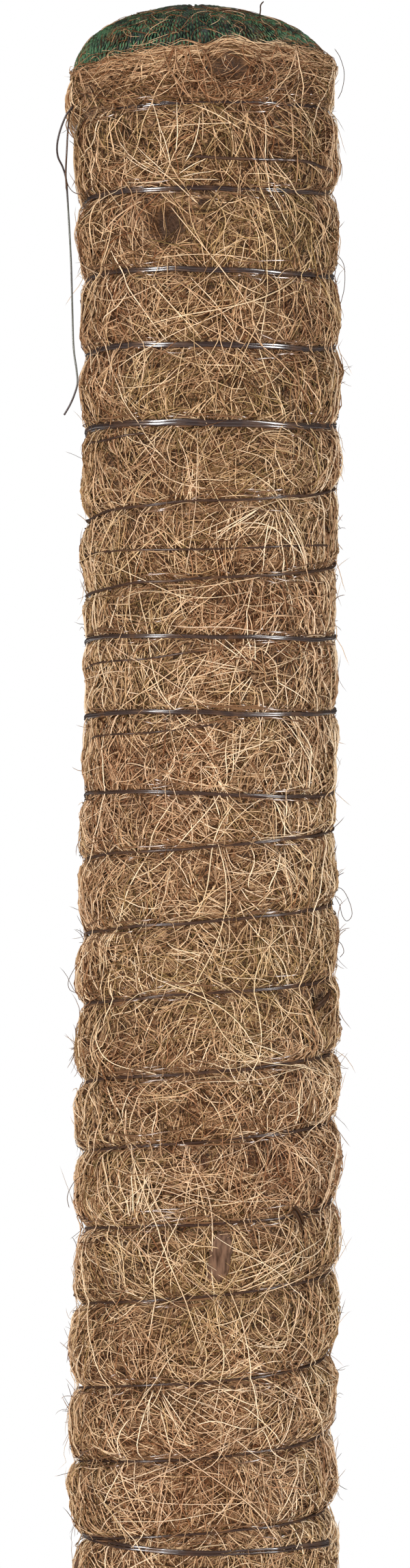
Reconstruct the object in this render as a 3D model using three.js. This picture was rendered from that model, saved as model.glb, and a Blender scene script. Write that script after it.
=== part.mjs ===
// A coir climbing pole for pot plants. A plastic core pipe, plugged at both ends, carries packed coir,
// a green net drawn over a stuffed crown, and an outer coir mat bound on with one long thread.
// Millimetres, +Z up. The origin is the middle of the foot, and the front faces -Y.
import * as THREE from 'three';

// Heights of the whole pole
const POLE_HEIGHT = 400;
const BARE_FOOT = 115;

// Clearance between neighbouring pieces
const GAP = 0.3;

// Core pipe and its end plugs
const PIPE_DIAMETER = 20;
const PIPE_WALL = 1.9;
const FLANGE_HEIGHT = 3;
const FLANGE_CHAMFER = 1;
const PLUG_DEPTH = 15;
const PLUG_WALL = 1.6;
const PLUG_RIBS = 3;
const RIB_HEIGHT = 0.6;

// Packed coir round the pipe, and the net over it
const FILL_THICKNESS = 4.8;
const NET_WALL = 0.6;
const NET_HEM = 3;

// Stuffed crown under the top of the net
const DOME_HEIGHT = 12;
const NECK_HEIGHT = 4;
const CROWN_SEAT = 3;

// Outer coir mat: thickness under the thread, swelling between turns, slack waist and upper edge
const MAT_PRESSED = 1.5;
const BULGE_HEIGHT = 2.7;
const BULGE_PER_PITCH = 0.25;
const WAIST_DEPTH = 1;
const WAIST_BELOW_TOP = 100;
const WAIST_SPAN = 60;
const CROWN_MAT = 1;
const MAT_EDGE = 0.5;
const EDGE_RISE = 2.2;
const EDGE_TILT = 1.6;
const FOOT_EDGE_DROP = 1.2;

// Binding thread: pitch of its turns, how it drifts, and how level it lies across the front
const THREAD_DIAMETER = 0.8;
const TURN_PITCH = 11.3;
const TIE_PITCH = 2;
const PITCH_DRIFT = 2.1;
const DRIFT_TURNS = 17;
const LEVEL_UPPER = 1.25;
const LEVEL_LOWER = 0.28;
const LEVEL_CHANGE_TURN = 10.25;
const LEVEL_CHANGE_SPAN = 1;
const FRONT_TURN_SHARE = 0.75;
const FOOT_COVER = 14;
const LEAD_TURNS = 0.12;

// Knots at the two ends of the thread, and the strand left hanging from the upper one
const KNOT_DIAMETER = 2;
const KNOT_LENGTH = 2.4;
const KNOT_FACE = 1.3;
const TAIL_DIAMETER = 0.35;
const TAIL_ROUTE = [
  [-20.37, -3.8, 384],
  [-20.45, -4.7, 383.95],
  [-20.85, -5.45, 383.6],
  [-21.6, -5.8, 382.6],
  [-22.5, -5.6, 380.4],
  [-23, -5.1, 378.2],
  [-22.9, -4.5, 376.4],
  [-22.2, -3.9, 374.9],
  [-21.7, -3.5, 373.2],
  [-21.5, -3.3, 370.8],
  [-21.2, -3.5, 365.8],
  [-20.9, -4, 360.1],
  [-20.7, -4.4, 353.3],
  [-20.5, -5, 347.3],
  [-20, -6.7, 343.6],
  [-19.85, -7.5, 341.6],
  [-20.3, -7.5, 339.9],
  [-21, -7.1, 338.3],
  [-21.9, -6.6, 336.8],
];

// Fineness of the facets
const STEPS_PER_TURN = 20;
const MAT_ROWS = 3;
const THREAD_SIDES = 6;
const PIPE_SIDES = 32;
const KNOT_SIDES = 10;
const DOME_STEPS = 6;
const TAIL_SIDES = 8;
const TAIL_STEPS = 60;

// Radii from the pipe outwards
const pipeRadius = PIPE_DIAMETER / 2;
const boreRadius = pipeRadius - PIPE_WALL;
const fillInner = pipeRadius + GAP;
const fillOuter = fillInner + FILL_THICKNESS;
const netRadius = fillOuter + GAP + NET_WALL;
const matInner = netRadius + GAP;
const grooveRadius = matInner + MAT_PRESSED;
const crestRadius = grooveRadius + BULGE_HEIGHT;
const domeRadius = crestRadius - CROWN_MAT - GAP;
const threadRadius = THREAD_DIAMETER / 2;
const threadCentre = grooveRadius + GAP + threadRadius;
const knotRadius = KNOT_DIAMETER / 2;

// Heights from the crown downwards
const domeBase = POLE_HEIGHT - DOME_HEIGHT;
const neckHeight = domeBase - NECK_HEIGHT;
const headTop = neckHeight - CROWN_SEAT;
const pipeTop = headTop - FLANGE_HEIGHT - GAP;
const waistHeight = POLE_HEIGHT - WAIST_BELOW_TOP;
const upperTie = neckHeight;
const firstTurn = upperTie - TIE_PITCH;
const plainTurns = Math.floor((firstTurn - BARE_FOOT - FOOT_COVER) / TURN_PITCH);
const threadTurns = plainTurns + 2;
const threadSteps = threadTurns * STEPS_PER_TURN;
const lowerTieTurn = threadTurns - 1;

// Finishes
function finish(color, roughness) {
  return new THREE.MeshStandardMaterial({ color, roughness, metalness: 0 });
}

const greyPipe = finish(0xb9bcbb, 0.45);
const blackPlug = finish(0x2b2c2d, 0.5);
const packedCoir = finish(0x6d4526, 0.95);
const strawCoir = finish(0xb98d5c, 0.9);
const greenNet = finish(0x2f5a45, 0.7);
const darkThread = finish(0x2a1d1a, 0.35);

// A skin gathers corners and faces into one closed surface.
class Skin {
  corners = [];
  faces = [];

  corner(point) {
    this.corners.push(point.x, point.y, point.z);
    return this.corners.length / 3 - 1;
  }

  ring(points) {
    return points.map((point) => this.corner(point));
  }

  triangle(a, b, c) {
    this.faces.push(a, b, c);
  }

  quad(a, b, c, d) {
    this.triangle(a, b, c);
    this.triangle(a, c, d);
  }

  // Joins two rings whose corners run round side by side.
  join(from, to) {
    from.forEach((corner, k) => {
      const next = (k + 1) % from.length;
      this.quad(corner, from[next], to[next], to[k]);
    });
  }

  geometry() {
    const made = new THREE.BufferGeometry();
    made.setAttribute('position', new THREE.Float32BufferAttribute(this.corners, 3));
    made.setIndex(this.faces);
    made.computeVertexNormals();
    return made;
  }
}

// A body turned round the pole's axis from a profile of [radius, height] pairs.
function turned(profile, sides) {
  const points = profile.map(([radius, height]) => new THREE.Vector2(radius, height));
  const body = new THREE.LatheGeometry(points, sides);
  body.rotateX(Math.PI / 2);
  return body;
}

// Turns are counted down from the upper knot at the left side, clockwise seen from above.
function turnAngle(turn) {
  return Math.PI - 2 * Math.PI * turn;
}

function atTurn(turn, radius, height) {
  const angle = turnAngle(turn);
  return new THREE.Vector3(radius * Math.cos(angle), radius * Math.sin(angle), height);
}

// Slow wander of the pitch, counted from the first turn that crosses the front.
function pitchWander(turn) {
  const frontTurns = turn - 1 - FRONT_TURN_SHARE;
  return PITCH_DRIFT * Math.sin((2 * Math.PI * frontTurns) / DRIFT_TURNS);
}

// Height of the thread between the two tie loops.
function plainTurnHeight(turn) {
  const changeStart = LEVEL_CHANGE_TURN - LEVEL_CHANGE_SPAN / 2;
  const changed = THREE.MathUtils.smoothstep(turn, changeStart, changeStart + LEVEL_CHANGE_SPAN);
  const level = THREE.MathUtils.lerp(LEVEL_UPPER, LEVEL_LOWER, changed);
  const levelling = level * Math.cos(2 * Math.PI * turn) - LEVEL_UPPER;
  const fall = TURN_PITCH * (turn - 1) + pitchWander(turn) - pitchWander(1);
  return firstTurn - fall + (TURN_PITCH * levelling) / (2 * Math.PI);
}

// Height of the thread after so many turns, with a close tie loop at each end.
function turnHeight(turn) {
  if (turn < 1) {
    return upperTie - TIE_PITCH * turn;
  }
  if (turn > lowerTieTurn) {
    return plainTurnHeight(lowerTieTurn) - TIE_PITCH * (turn - lowerTieTurn);
  }
  return plainTurnHeight(turn);
}

// Radius of the mat's swelling, with the slack waist drawn in.
function matCrest(height) {
  const away = (height - waistHeight) / WAIST_SPAN;
  return crestRadius - WAIST_DEPTH * Math.exp(-away * away);
}

// Outside radius of the net at a height.
function netOutside(height) {
  if (height <= neckHeight) {
    return netRadius;
  }
  if (height < domeBase) {
    const share = (height - neckHeight) / NECK_HEIGHT;
    return netRadius + share * (domeRadius - netRadius);
  }
  const rise = (height - domeBase) / DOME_HEIGHT;
  return domeRadius * Math.sqrt(1 - rise * rise);
}

// Profile of the crown from its apex to its neck, a distance inside the net's outer face.
function crownProfile(inside) {
  const profile = [];
  for (let step = DOME_STEPS; step >= 0; step -= 1) {
    const angle = (step / DOME_STEPS) * (Math.PI / 2);
    const radius = step === DOME_STEPS ? 0 : (domeRadius - inside) * Math.cos(angle);
    profile.push([radius, domeBase + (DOME_HEIGHT - inside) * Math.sin(angle)]);
  }
  profile.push([netRadius - inside, neckHeight]);
  return profile;
}

function corePipe() {
  const foot = FLANGE_HEIGHT + GAP;
  return turned([
    [boreRadius, foot],
    [pipeRadius, foot],
    [pipeRadius, pipeTop],
    [boreRadius, pipeTop],
    [boreRadius, foot],
  ], PIPE_SIDES);
}

// A plug with its flange at the bottom and a ribbed, hollow stem standing up inside the pipe.
function endPlug() {
  const ribRadius = boreRadius - GAP;
  const rootRadius = ribRadius - RIB_HEIGHT;
  const stemTop = FLANGE_HEIGHT + PLUG_DEPTH;
  const ribStep = PLUG_DEPTH / (PLUG_RIBS + 1);
  const profile = [
    [0, 0],
    [pipeRadius - FLANGE_CHAMFER, 0],
    [pipeRadius, FLANGE_CHAMFER],
    [pipeRadius, FLANGE_HEIGHT],
    [rootRadius, FLANGE_HEIGHT],
  ];
  for (let rib = 1; rib <= PLUG_RIBS; rib += 1) {
    const crest = FLANGE_HEIGHT + rib * ribStep;
    profile.push([rootRadius, crest - ribStep / 2]);
    profile.push([ribRadius, crest]);
  }
  profile.push([rootRadius, stemTop - ribStep / 2]);
  profile.push([rootRadius, stemTop]);
  profile.push([rootRadius - PLUG_WALL, stemTop]);
  profile.push([rootRadius - PLUG_WALL, FLANGE_HEIGHT]);
  profile.push([0, FLANGE_HEIGHT]);
  return turned(profile, PIPE_SIDES);
}

function innerFill() {
  return turned([
    [fillInner, BARE_FOOT],
    [fillOuter, BARE_FOOT],
    [fillOuter, headTop],
    [fillInner, headTop],
    [fillInner, BARE_FOOT],
  ], STEPS_PER_TURN);
}

function crownWad() {
  const foot = headTop + GAP;
  const stuffing = NET_WALL + GAP;
  const profile = crownProfile(stuffing);
  profile.push([netRadius - stuffing, foot]);
  profile.push([0, foot]);
  return turned(profile.reverse(), STEPS_PER_TURN);
}

function netSleeve() {
  const hem = BARE_FOOT - NET_HEM;
  const outside = crownProfile(0);
  const lining = crownProfile(NET_WALL).reverse();
  const profile = [...outside, [netRadius, hem], [netRadius - NET_WALL, hem], ...lining];
  return turned(profile.reverse(), STEPS_PER_TURN);
}

// A level ring of corners, or one whose height changes with the side it is on.
function levelRing(radiusAt, heightAt) {
  const ring = [];
  for (let step = 0; step < STEPS_PER_TURN; step += 1) {
    const turn = step / STEPS_PER_TURN;
    const height = heightAt(turnAngle(turn));
    ring.push(atTurn(turn, radiusAt(height), height));
  }
  return ring;
}

// One row of the mat's outer skin, a share of the way from a turn of thread to the turn below it.
function matCorner(turn, share) {
  const above = turnHeight(turn);
  const pitch = above - turnHeight(turn + 1);
  const height = above - share * pitch;
  const swelling = Math.min(matCrest(height) - grooveRadius, BULGE_PER_PITCH * pitch);
  return atTurn(turn, grooveRadius + (share > 0 ? swelling : 0), height);
}

function coirMat() {
  const skin = new Skin();
  const lastRowStep = threadSteps - STEPS_PER_TURN;

  // Rows follow the thread, so the row below the last one of a turn is the next turn's groove.
  const rows = [];
  for (let step = 0; step <= threadSteps; step += 1) {
    const turn = step / STEPS_PER_TURN;
    if (step > lastRowStep) {
      rows.push([skin.corner(atTurn(turn, grooveRadius, turnHeight(turn)))]);
      continue;
    }
    const row = [];
    for (let part = 0; part < MAT_ROWS; part += 1) {
      row.push(skin.corner(matCorner(turn, part / MAT_ROWS)));
    }
    rows.push(row);
  }
  const rowCorner = (step, part) => (part < MAT_ROWS ? rows[step][part] : rows[step + STEPS_PER_TURN][0]);
  for (let step = 0; step < lastRowStep; step += 1) {
    for (let part = 0; part < MAT_ROWS; part += 1) {
      skin.quad(
        rowCorner(step, part),
        rowCorner(step + 1, part),
        rowCorner(step + 1, part + 1),
        rowCorner(step, part + 1),
      );
    }
  }

  // Rings over the crown, down the foot's roll and back up the inside.
  const footTie = turnHeight(threadTurns);
  const rollHeight = (footTie - BARE_FOOT) / MAT_ROWS;
  const edgeHeight = (angle) => domeBase + EDGE_RISE + EDGE_TILT * Math.cos(angle);
  const insideAt = (height) => netOutside(height) + GAP;
  const edgeAt = (height) => insideAt(height) + MAT_EDGE;
  const level = (height) => () => height;
  const innerEdge = skin.ring(levelRing(insideAt, edgeHeight));
  const outerEdge = skin.ring(levelRing(edgeAt, edgeHeight));
  const crownRoll = skin.ring(levelRing(matCrest, level(domeBase)));
  const footRoll = skin.ring(levelRing(matCrest, level(BARE_FOOT + 2 * rollHeight)));
  const footLip = skin.ring(levelRing(matCrest, level(BARE_FOOT + rollHeight)));
  const footEdge = skin.ring(levelRing((z) => matCrest(z) - FOOT_EDGE_DROP, level(BARE_FOOT)));
  const innerFoot = skin.ring(levelRing(insideAt, level(BARE_FOOT)));
  const innerNeck = skin.ring(levelRing(insideAt, level(neckHeight)));
  const innerCrown = skin.ring(levelRing(insideAt, level(domeBase)));

  // The crown roll meets the upper tie loop, with a small step where the loop begins.
  for (let step = 0; step < STEPS_PER_TURN; step += 1) {
    const next = (step + 1) % STEPS_PER_TURN;
    skin.quad(crownRoll[step], crownRoll[next], rowCorner(step + 1, 0), rowCorner(step, 0));
  }
  for (let part = 0; part < MAT_ROWS; part += 1) {
    skin.triangle(crownRoll[0], rowCorner(0, part), rowCorner(0, part + 1));
  }

  // The foot roll meets the lower tie loop the same way.
  for (let step = 0; step < STEPS_PER_TURN; step += 1) {
    const next = (step + 1) % STEPS_PER_TURN;
    const tie = lastRowStep + step;
    skin.quad(rows[tie][0], rows[tie + 1][0], footRoll[next], footRoll[step]);
  }
  for (let part = MAT_ROWS; part > 0; part -= 1) {
    skin.triangle(footRoll[0], rowCorner(lastRowStep, part), rowCorner(lastRowStep, part - 1));
  }

  const footAndInside = [footRoll, footLip, footEdge, innerFoot, innerNeck, innerCrown, innerEdge];
  const profile = [...footAndInside, outerEdge, crownRoll];
  for (let ring = 1; ring < profile.length; ring += 1) {
    skin.join(profile[ring - 1], profile[ring]);
  }
  return skin.geometry();
}

// How far the thread has climbed out of its groove at a tie loop, to carry a knot clear of the mat.
function knotLift() {
  const slope = (matCrest(domeBase) - grooveRadius) / (domeBase - firstTurn);
  const matUnderKnot = grooveRadius + slope * (upperTie + knotRadius - firstTurn);
  return matUnderKnot + GAP + knotRadius - threadCentre;
}

function bindingPath() {
  const lift = knotLift();
  const path = [];
  for (let step = 0; step <= threadSteps; step += 1) {
    const turn = step / STEPS_PER_TURN;
    const fromEnd = Math.min(turn, threadTurns - turn);
    const climb = 1 - THREE.MathUtils.smoothstep(fromEnd, 0, LEAD_TURNS);
    path.push(atTurn(turn, threadCentre + lift * climb, turnHeight(turn)));
  }
  return path;
}

// Direction of the thread at one of its ends, pointing out of the thread.
function endDirection(path, atStart) {
  const [end, before] = atStart ? [path[0], path[1]] : [path.at(-1), path.at(-2)];
  const radial = new THREE.Vector3(end.x, end.y, 0).normalize();
  const along = end.clone().sub(before);
  return along.addScaledVector(radial, -along.dot(radial)).normalize();
}

// A round tube along the wound path, with its ends run straight on for one thread diameter.
function bindingThread(path) {
  const centres = [
    path[0].clone().addScaledVector(endDirection(path, true), THREAD_DIAMETER),
    ...path,
    path.at(-1).clone().addScaledVector(endDirection(path, false), THREAD_DIAMETER),
  ];
  const skin = new Skin();
  const rings = centres.map((centre, k) => {
    const before = centres[Math.max(k - 1, 0)];
    const after = centres[Math.min(k + 1, centres.length - 1)];
    const along = after.clone().sub(before).normalize();
    const outward = new THREE.Vector3(centre.x, centre.y, 0);
    outward.addScaledVector(along, -outward.dot(along)).normalize();
    const across = new THREE.Vector3().crossVectors(along, outward);
    const ring = [];
    for (let side = 0; side < THREAD_SIDES; side += 1) {
      const angle = (2 * Math.PI * side) / THREAD_SIDES;
      const corner = centre.clone().addScaledVector(outward, threadRadius * Math.cos(angle));
      ring.push(corner.addScaledVector(across, threadRadius * Math.sin(angle)));
    }
    return skin.ring(ring);
  });
  for (let k = 1; k < rings.length; k += 1) {
    skin.join(rings[k - 1], rings[k]);
  }
  const first = rings[0];
  const last = rings.at(-1);
  for (let side = 2; side < THREAD_SIDES; side += 1) {
    skin.triangle(first[0], first[side], first[side - 1]);
    skin.triangle(last[0], last[side - 1], last[side]);
  }
  return skin.geometry();
}

// Least distance between two turns of the thread, from surface to surface.
function leastThreadGap(path) {
  let least = Infinity;
  for (let a = 0; a < path.length; a += 1) {
    for (let b = a + STEPS_PER_TURN / 2; b < path.length; b += 1) {
      least = Math.min(least, path[a].distanceTo(path[b]));
    }
  }
  return least - THREAD_DIAMETER;
}

// A barrel-shaped knot round its own axis.
function knotBarrel() {
  const half = KNOT_LENGTH / 2;
  const face = KNOT_FACE / 2;
  return turned([
    [0, -half],
    [face, -half],
    [knotRadius, -half / 2],
    [knotRadius, half / 2],
    [face, half],
    [0, half],
  ], KNOT_SIDES);
}

function looseTail() {
  const route = new THREE.CatmullRomCurve3(TAIL_ROUTE.map((point) => new THREE.Vector3(...point)));
  const rim = [];
  for (let side = 0; side < TAIL_SIDES; side += 1) {
    const angle = (2 * Math.PI * side) / TAIL_SIDES;
    rim.push(new THREE.Vector2(Math.cos(angle), Math.sin(angle)).multiplyScalar(TAIL_DIAMETER / 2));
  }
  return new THREE.ExtrudeGeometry(new THREE.Shape(rim), { extrudePath: route, steps: TAIL_STEPS });
}

const pole = new THREE.Group();

function place(name, geometry, material) {
  const mesh = new THREE.Mesh(geometry, material);
  mesh.name = name;
  pole.add(mesh);
  return mesh;
}

// Sets a knot one gap past the straight end of the thread, lined up with it.
function placeKnot(name, path, atStart) {
  const direction = endDirection(path, atStart);
  const end = atStart ? path[0] : path.at(-1);
  const knot = place(name, knotBarrel(), darkThread);
  knot.position.copy(end).addScaledVector(direction, THREAD_DIAMETER + GAP + KNOT_LENGTH / 2);
  knot.quaternion.setFromUnitVectors(new THREE.Vector3(0, 0, 1), direction);
}

place('core_pipe', corePipe(), greyPipe);
place('foot_plug', endPlug(), blackPlug);
const headPlug = place('head_plug', endPlug(), blackPlug);
headPlug.position.z = headTop;
headPlug.rotation.x = Math.PI;
place('inner_fill', innerFill(), packedCoir);
place('crown_wad', crownWad(), packedCoir);
place('net_sleeve', netSleeve(), greenNet);
place('coir_mat', coirMat(), strawCoir);
const thread = bindingPath();
place('binding_thread', bindingThread(thread), darkThread);
placeKnot('start_knot', thread, true);
placeKnot('end_knot', thread, false);
place('loose_tail', looseTail(), darkThread);

const threadGap = leastThreadGap(thread).toFixed(2);
console.log(`binding thread: ${threadTurns} turns, least gap to itself ${threadGap} mm`);

export default pole;
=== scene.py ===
"""Dresses a coir climbing pole: felted coconut fibre under a glossy binding thread, a green net crown with
fibres straying over it, and a plastic pipe with a plugged foot, all set in a pale studio.

Metres, +Z up, front towards -Y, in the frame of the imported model."""

import math
from typing import NamedTuple

import bpy
import numpy as np
from bpy.props import FloatProperty, FloatVectorProperty, IntProperty, PointerProperty
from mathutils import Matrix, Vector


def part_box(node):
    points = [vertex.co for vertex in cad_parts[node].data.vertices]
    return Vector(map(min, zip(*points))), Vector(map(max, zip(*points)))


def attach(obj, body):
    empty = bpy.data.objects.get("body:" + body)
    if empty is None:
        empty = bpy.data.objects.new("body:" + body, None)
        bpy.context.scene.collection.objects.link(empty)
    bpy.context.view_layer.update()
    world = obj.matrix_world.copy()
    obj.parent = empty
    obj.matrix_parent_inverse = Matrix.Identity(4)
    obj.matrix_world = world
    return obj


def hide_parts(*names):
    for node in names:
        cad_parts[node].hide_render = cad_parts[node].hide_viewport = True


bl_info = {
    "name": "Coir climbing pole",
    "version": (1, 0, 0),
    "blender": (4, 5, 0),
    "location": "View3D > Sidebar > Coir pole",
    "description": "Builds the visible surfaces of a coir climbing pole round its packed frame",
    "category": "Object",
}

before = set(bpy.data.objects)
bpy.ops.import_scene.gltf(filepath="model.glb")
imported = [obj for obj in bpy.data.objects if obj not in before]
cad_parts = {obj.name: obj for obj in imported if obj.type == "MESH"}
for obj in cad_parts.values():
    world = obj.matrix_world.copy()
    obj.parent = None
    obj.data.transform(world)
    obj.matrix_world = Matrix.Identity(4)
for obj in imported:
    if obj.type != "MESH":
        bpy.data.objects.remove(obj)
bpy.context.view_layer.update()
MAT_LOW, MAT_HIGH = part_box("coir_mat")
NET_LOW, NET_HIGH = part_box("net_sleeve")
PIPE_LOW, PIPE_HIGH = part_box("core_pipe")
PLUG_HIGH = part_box("foot_plug")[1]
FILL_LOW, FILL_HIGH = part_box("inner_fill")
WAD_LOW, WAD_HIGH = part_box("crown_wad")

BODY = "root"
TURN = 2 * math.pi
FRONT = -math.pi / 2

# Sockets of a Mix node that mixes colours
MIX_FACTOR, MIX_FIRST, MIX_SECOND, MIX_RESULT = 0, 6, 7, 2

# Camera, with its lens and sensor in millimetres
CAMERA_PLACE = (-0.0004, -0.966, 0.2805)
CAMERA_LENS, CAMERA_SENSOR = 144.4, 36

# Floor, as rings about the pole, and the height that the lamps are aimed at
FLOOR_RADII, FLOOR_SIDES = (1.2, 0.8, 0.4, 0.1, 0.0005), 128
LAMP_AIM = 0.27

# Rise of the felt's lumps, of its grit and of the rags on its upper edge, and how much its rolls differ
LUMP_RISE, GRIT_RISE, RAG_RISE, FULLNESS_SPREAD = 0.00024, 0.00008, 0.00022, 0.11

# Shape of a roll between turns of thread: how flat its crest is and how steep its sides are
CREST_FLATNESS, SIDE_STEEPNESS = 3.4, 0.55

# Depth of a dark pocket, and the least felt left over the net there
POCKET_DEPTH, LEAST_FELT = 0.0012, 0.0007

# Middle, in degrees round from the front, and half width, in radians, of the mound on the upper edge
MOUND_MIDDLE, MOUND_HALF = 11, 0.13

# How far out the thread lies where it is slack, and the height over which the mat's foot is rounded
SLACK_OUT, FOOT_ROUNDING = 0.0004, 0.004

# Turns of thread from its start to where its first plain turn crosses the front
FIRST_CROSSING = 1.75

# Heights between which the fibre comes to fill the groove of the upper tie
TIE_FILL_HEIGHTS = (0.374, 0.382)

# Painted shade: how much darker the fibre is painted towards the crown, where less light falls, and the
# heights between which it darkens
CROWN_PAINTED_SHADE, CROWN_HEIGHTS = 0.16, (0.29, 0.386)

# Room between the pipe and the coir packed round it, and between that coir and the net
PACKING_GAP, PACKING_SKIN = 0.0004, 0.0002

# Route of the hanging tail, from the upper knot to its bare end
TAIL_ROUTE = (
    (-0.02037, -0.0038, 0.384),
    (-0.02045, -0.0047, 0.38395),
    (-0.02085, -0.00545, 0.3836),
    (-0.0216, -0.0058, 0.3826),
    (-0.0225, -0.0056, 0.3804),
    (-0.023, -0.0051, 0.3782),
    (-0.0229, -0.0045, 0.3764),
    (-0.0222, -0.0039, 0.3749),
    (-0.0217, -0.0035, 0.3732),
    (-0.0215, -0.0033, 0.3708),
    (-0.0212, -0.0035, 0.3658),
    (-0.0209, -0.004, 0.3601),
    (-0.0207, -0.0044, 0.3533),
    (-0.0205, -0.005, 0.3473),
    (-0.02, -0.0067, 0.3436),
    (-0.01985, -0.0075, 0.3416),
    (-0.0203, -0.0075, 0.3399),
    (-0.021, -0.0071, 0.3383),
    (-0.0219, -0.0066, 0.3368),
)

# Strands beside the tail's loop: the radius of each and its points
LOOP_STRANDS = (
    (
        0.00014,
        (
            (-0.0203, -0.0046, 0.3846),
            (-0.0210, -0.0052, 0.3834),
            (-0.02135, -0.0054, 0.3805),
            (-0.02155, -0.0049, 0.3770),
            (-0.0217, -0.0040, 0.3740),
            (-0.0216, -0.0034, 0.3712),
        ),
    ),
    (
        0.00007,
        (
            (-0.0217, -0.0036, 0.3737),
            (-0.0214, -0.0036, 0.3722),
            (-0.0206, -0.0038, 0.3711),
            (-0.0194, -0.0042, 0.3706),
        ),
    ),
)

# Width of the flattened thread at counts of its turns from the top
THREAD_WIDTHS = (
    (0, 0.0005),
    (0.3, 0.00085),
    (0.7, 0.00085),
    (1.0, 0.0006),
    (1.75, 0.00095),
    (3.75, 0.00105),
    (4.95, 0.00135),
    (5.3, 0.00045),
    (7.1, 0.00042),
    (7.5, 0.00075),
    (9.0, 0.00085),
    (10.75, 0.00048),
    (13.75, 0.00055),
    (17.0, 0.00042),
    (19.75, 0.00038),
    (20.75, 0.0007),
    (24, 0.0007),
)

# How far the thread's gloss is worn off at counts of its turns
THREAD_WEAR = (
    (4.95, 0.0),
    (5.3, 1.0),
    (7.1, 1.0),
    (7.5, 0.2),
    (9.0, 0.4),
    (10.3, 0.85),
    (19.5, 0.85),
    (20.2, 0.2),
    (21.2, 0.2),
    (22.0, 0.85),
)

# How far the thread lies above its even winding at counts of its turns
THREAD_NUDGES = (
    (0.1, 0.0),
    (0.5, 0.0008),
    (0.9, 0.0006),
    (1.0, 0.0),
    (2.5, -0.0010),
    (3.4, 0.0),
    (5.2, 0.0),
    (5.5, 0.0020),
    (5.97, -0.0022),
    (6.5, 0.0016),
    (6.97, -0.0027),
    (7.5, 0.0015),
    (8.0, 0.0014),
    (9.0, 0.0005),
    (9.6, -0.0011),
    (10.0, -0.0006),
    (10.5, 0.0025),
    (10.75, 0.0016),
    (11.5, 0.0014),
    (12.0, 0.0006),
    (12.7, 0.0009),
    (14.0, -0.0002),
    (14.5, 0.0011),
    (15.6, -0.0004),
    (16.5, 0.0010),
    (17.75, -0.0004),
    (19.7, 0.0010),
    (21.0, 0.0),
)

# Second passes of the thread: degrees round from the front and height at each end, radius and wear
FAINT_PASSES = (
    ((-10, 0.3749), (84, 0.3743), 0.00025, 0.85),
    ((-80, 0.3322), (-24, 0.3334), 0.00018, 1.0),
    ((-84, 0.3153), (84, 0.3168), 0.00016, 1.0),
    ((-84, 0.2981), (5, 0.3006), 0.00015, 1.0),
    ((-84, 0.2869), (8, 0.2894), 0.00015, 1.0),
    ((-86, 0.1659), (86, 0.1646), 0.00017, 0.7),
    ((-86, 0.1656), (86, 0.1649), 0.00019, 0.4),
    ((-86, 0.1653), (86, 0.1643), 0.00019, 0.5),
    ((-86, 0.1650), (86, 0.1652), 0.00016, 0.7),
)

# Sideways lean of the soft layers at heights up the pole
SWAY = (
    (0.115, 0.0),
    (0.165, -0.0004),
    (0.182, -0.0012),
    (0.21, 0.0),
    (0.26, 0.0001),
    (0.3, 0.0005),
    (0.354, 0.0005),
    (0.38, -0.0004),
    (0.388, -0.0007),
    (0.393, -0.0009),
    (0.397, -0.0013),
    (0.4, -0.0021),
)

# Pockets where the fibre is thin and the mat dips, painted dark as shade: degrees round from the front,
# height, half width and half height
POCKETS = (
    (-19.5, 0.3651, 0.0034, 0.0028),
    (12, 0.3885, 0.0030, 0.0025),
    (58, 0.2484, 0.0012, 0.0018),
    (-39, 0.1917, 0.0010, 0.0010),
    (150, 0.3400, 0.0018, 0.0022),
    (-130, 0.2700, 0.0016, 0.0020),
    (110, 0.2100, 0.0014, 0.0018),
    (-165, 0.1700, 0.0018, 0.0020),
)

# Fans of pale fibre pinched under the thread: degrees round, height, heading, half spread, reach, rays
FANS = (
    (29.6, 0.3236, -1.75, 0.95, 0.0105, 17),
    (19.8, 0.2976, 0.0, 3.14, 0.0095, 20),
    (-22, 0.1905, -1.2, 0.8, 0.0100, 11),
    (-34, 0.2140, 1.5, 0.8, 0.0080, 9),
    (-15, 0.3715, 1.57, 1.7, 0.0100, 11),
)

# Long pale strands that catch the eye: degrees round from the front and height along each
PALE_STRANDS = (
    ((-32, 0.3091), (8, 0.3108), (52, 0.3138)),
    ((-24, 0.3837), (-20, 0.3795), (-20, 0.3735)),
    ((-48, 0.3825), (-56, 0.3785), (-78, 0.3755)),
    ((-6, 0.3830), (7, 0.3808), (19, 0.3780)),
    ((-21, 0.3794), (-3, 0.3797), (17, 0.3800)),
    ((-31, 0.3751), (-18, 0.3722), (-4, 0.3677)),
    ((-18, 0.3680), (4, 0.3585), (22, 0.3500)),
    ((-27, 0.3561), (-19, 0.3532), (-4, 0.3476)),
    ((-10, 0.3572), (4, 0.3519), (13, 0.3470)),
    ((-36, 0.3376), (-24, 0.3404), (-13, 0.3437)),
    ((27, 0.3822), (27, 0.3720), (38, 0.3640)),
    ((-50, 0.3620), (-38, 0.3555), (-20, 0.3470)),
    ((10, 0.3310), (27, 0.3290), (30, 0.3240)),
    ((-12, 0.2960), (8, 0.2990), (42, 0.3105)),
    ((10, 0.2054), (24, 0.2068), (46, 0.2098)),
    ((14, 0.2040), (30, 0.2058), (58, 0.2086)),
    ((20, 0.2046), (36, 0.2068), (60, 0.2096)),
    ((8, 0.2066), (26, 0.2086), (44, 0.2106)),
    ((24, 0.2036), (42, 0.2052), (62, 0.2074)),
)

# Broken stalks: degrees round from the front and height at each end
STALKS = (
    ((39.0, 0.2166), (44.5, 0.2132)),
    ((51.0, 0.2464), (64.0, 0.2488)),
)

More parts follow.
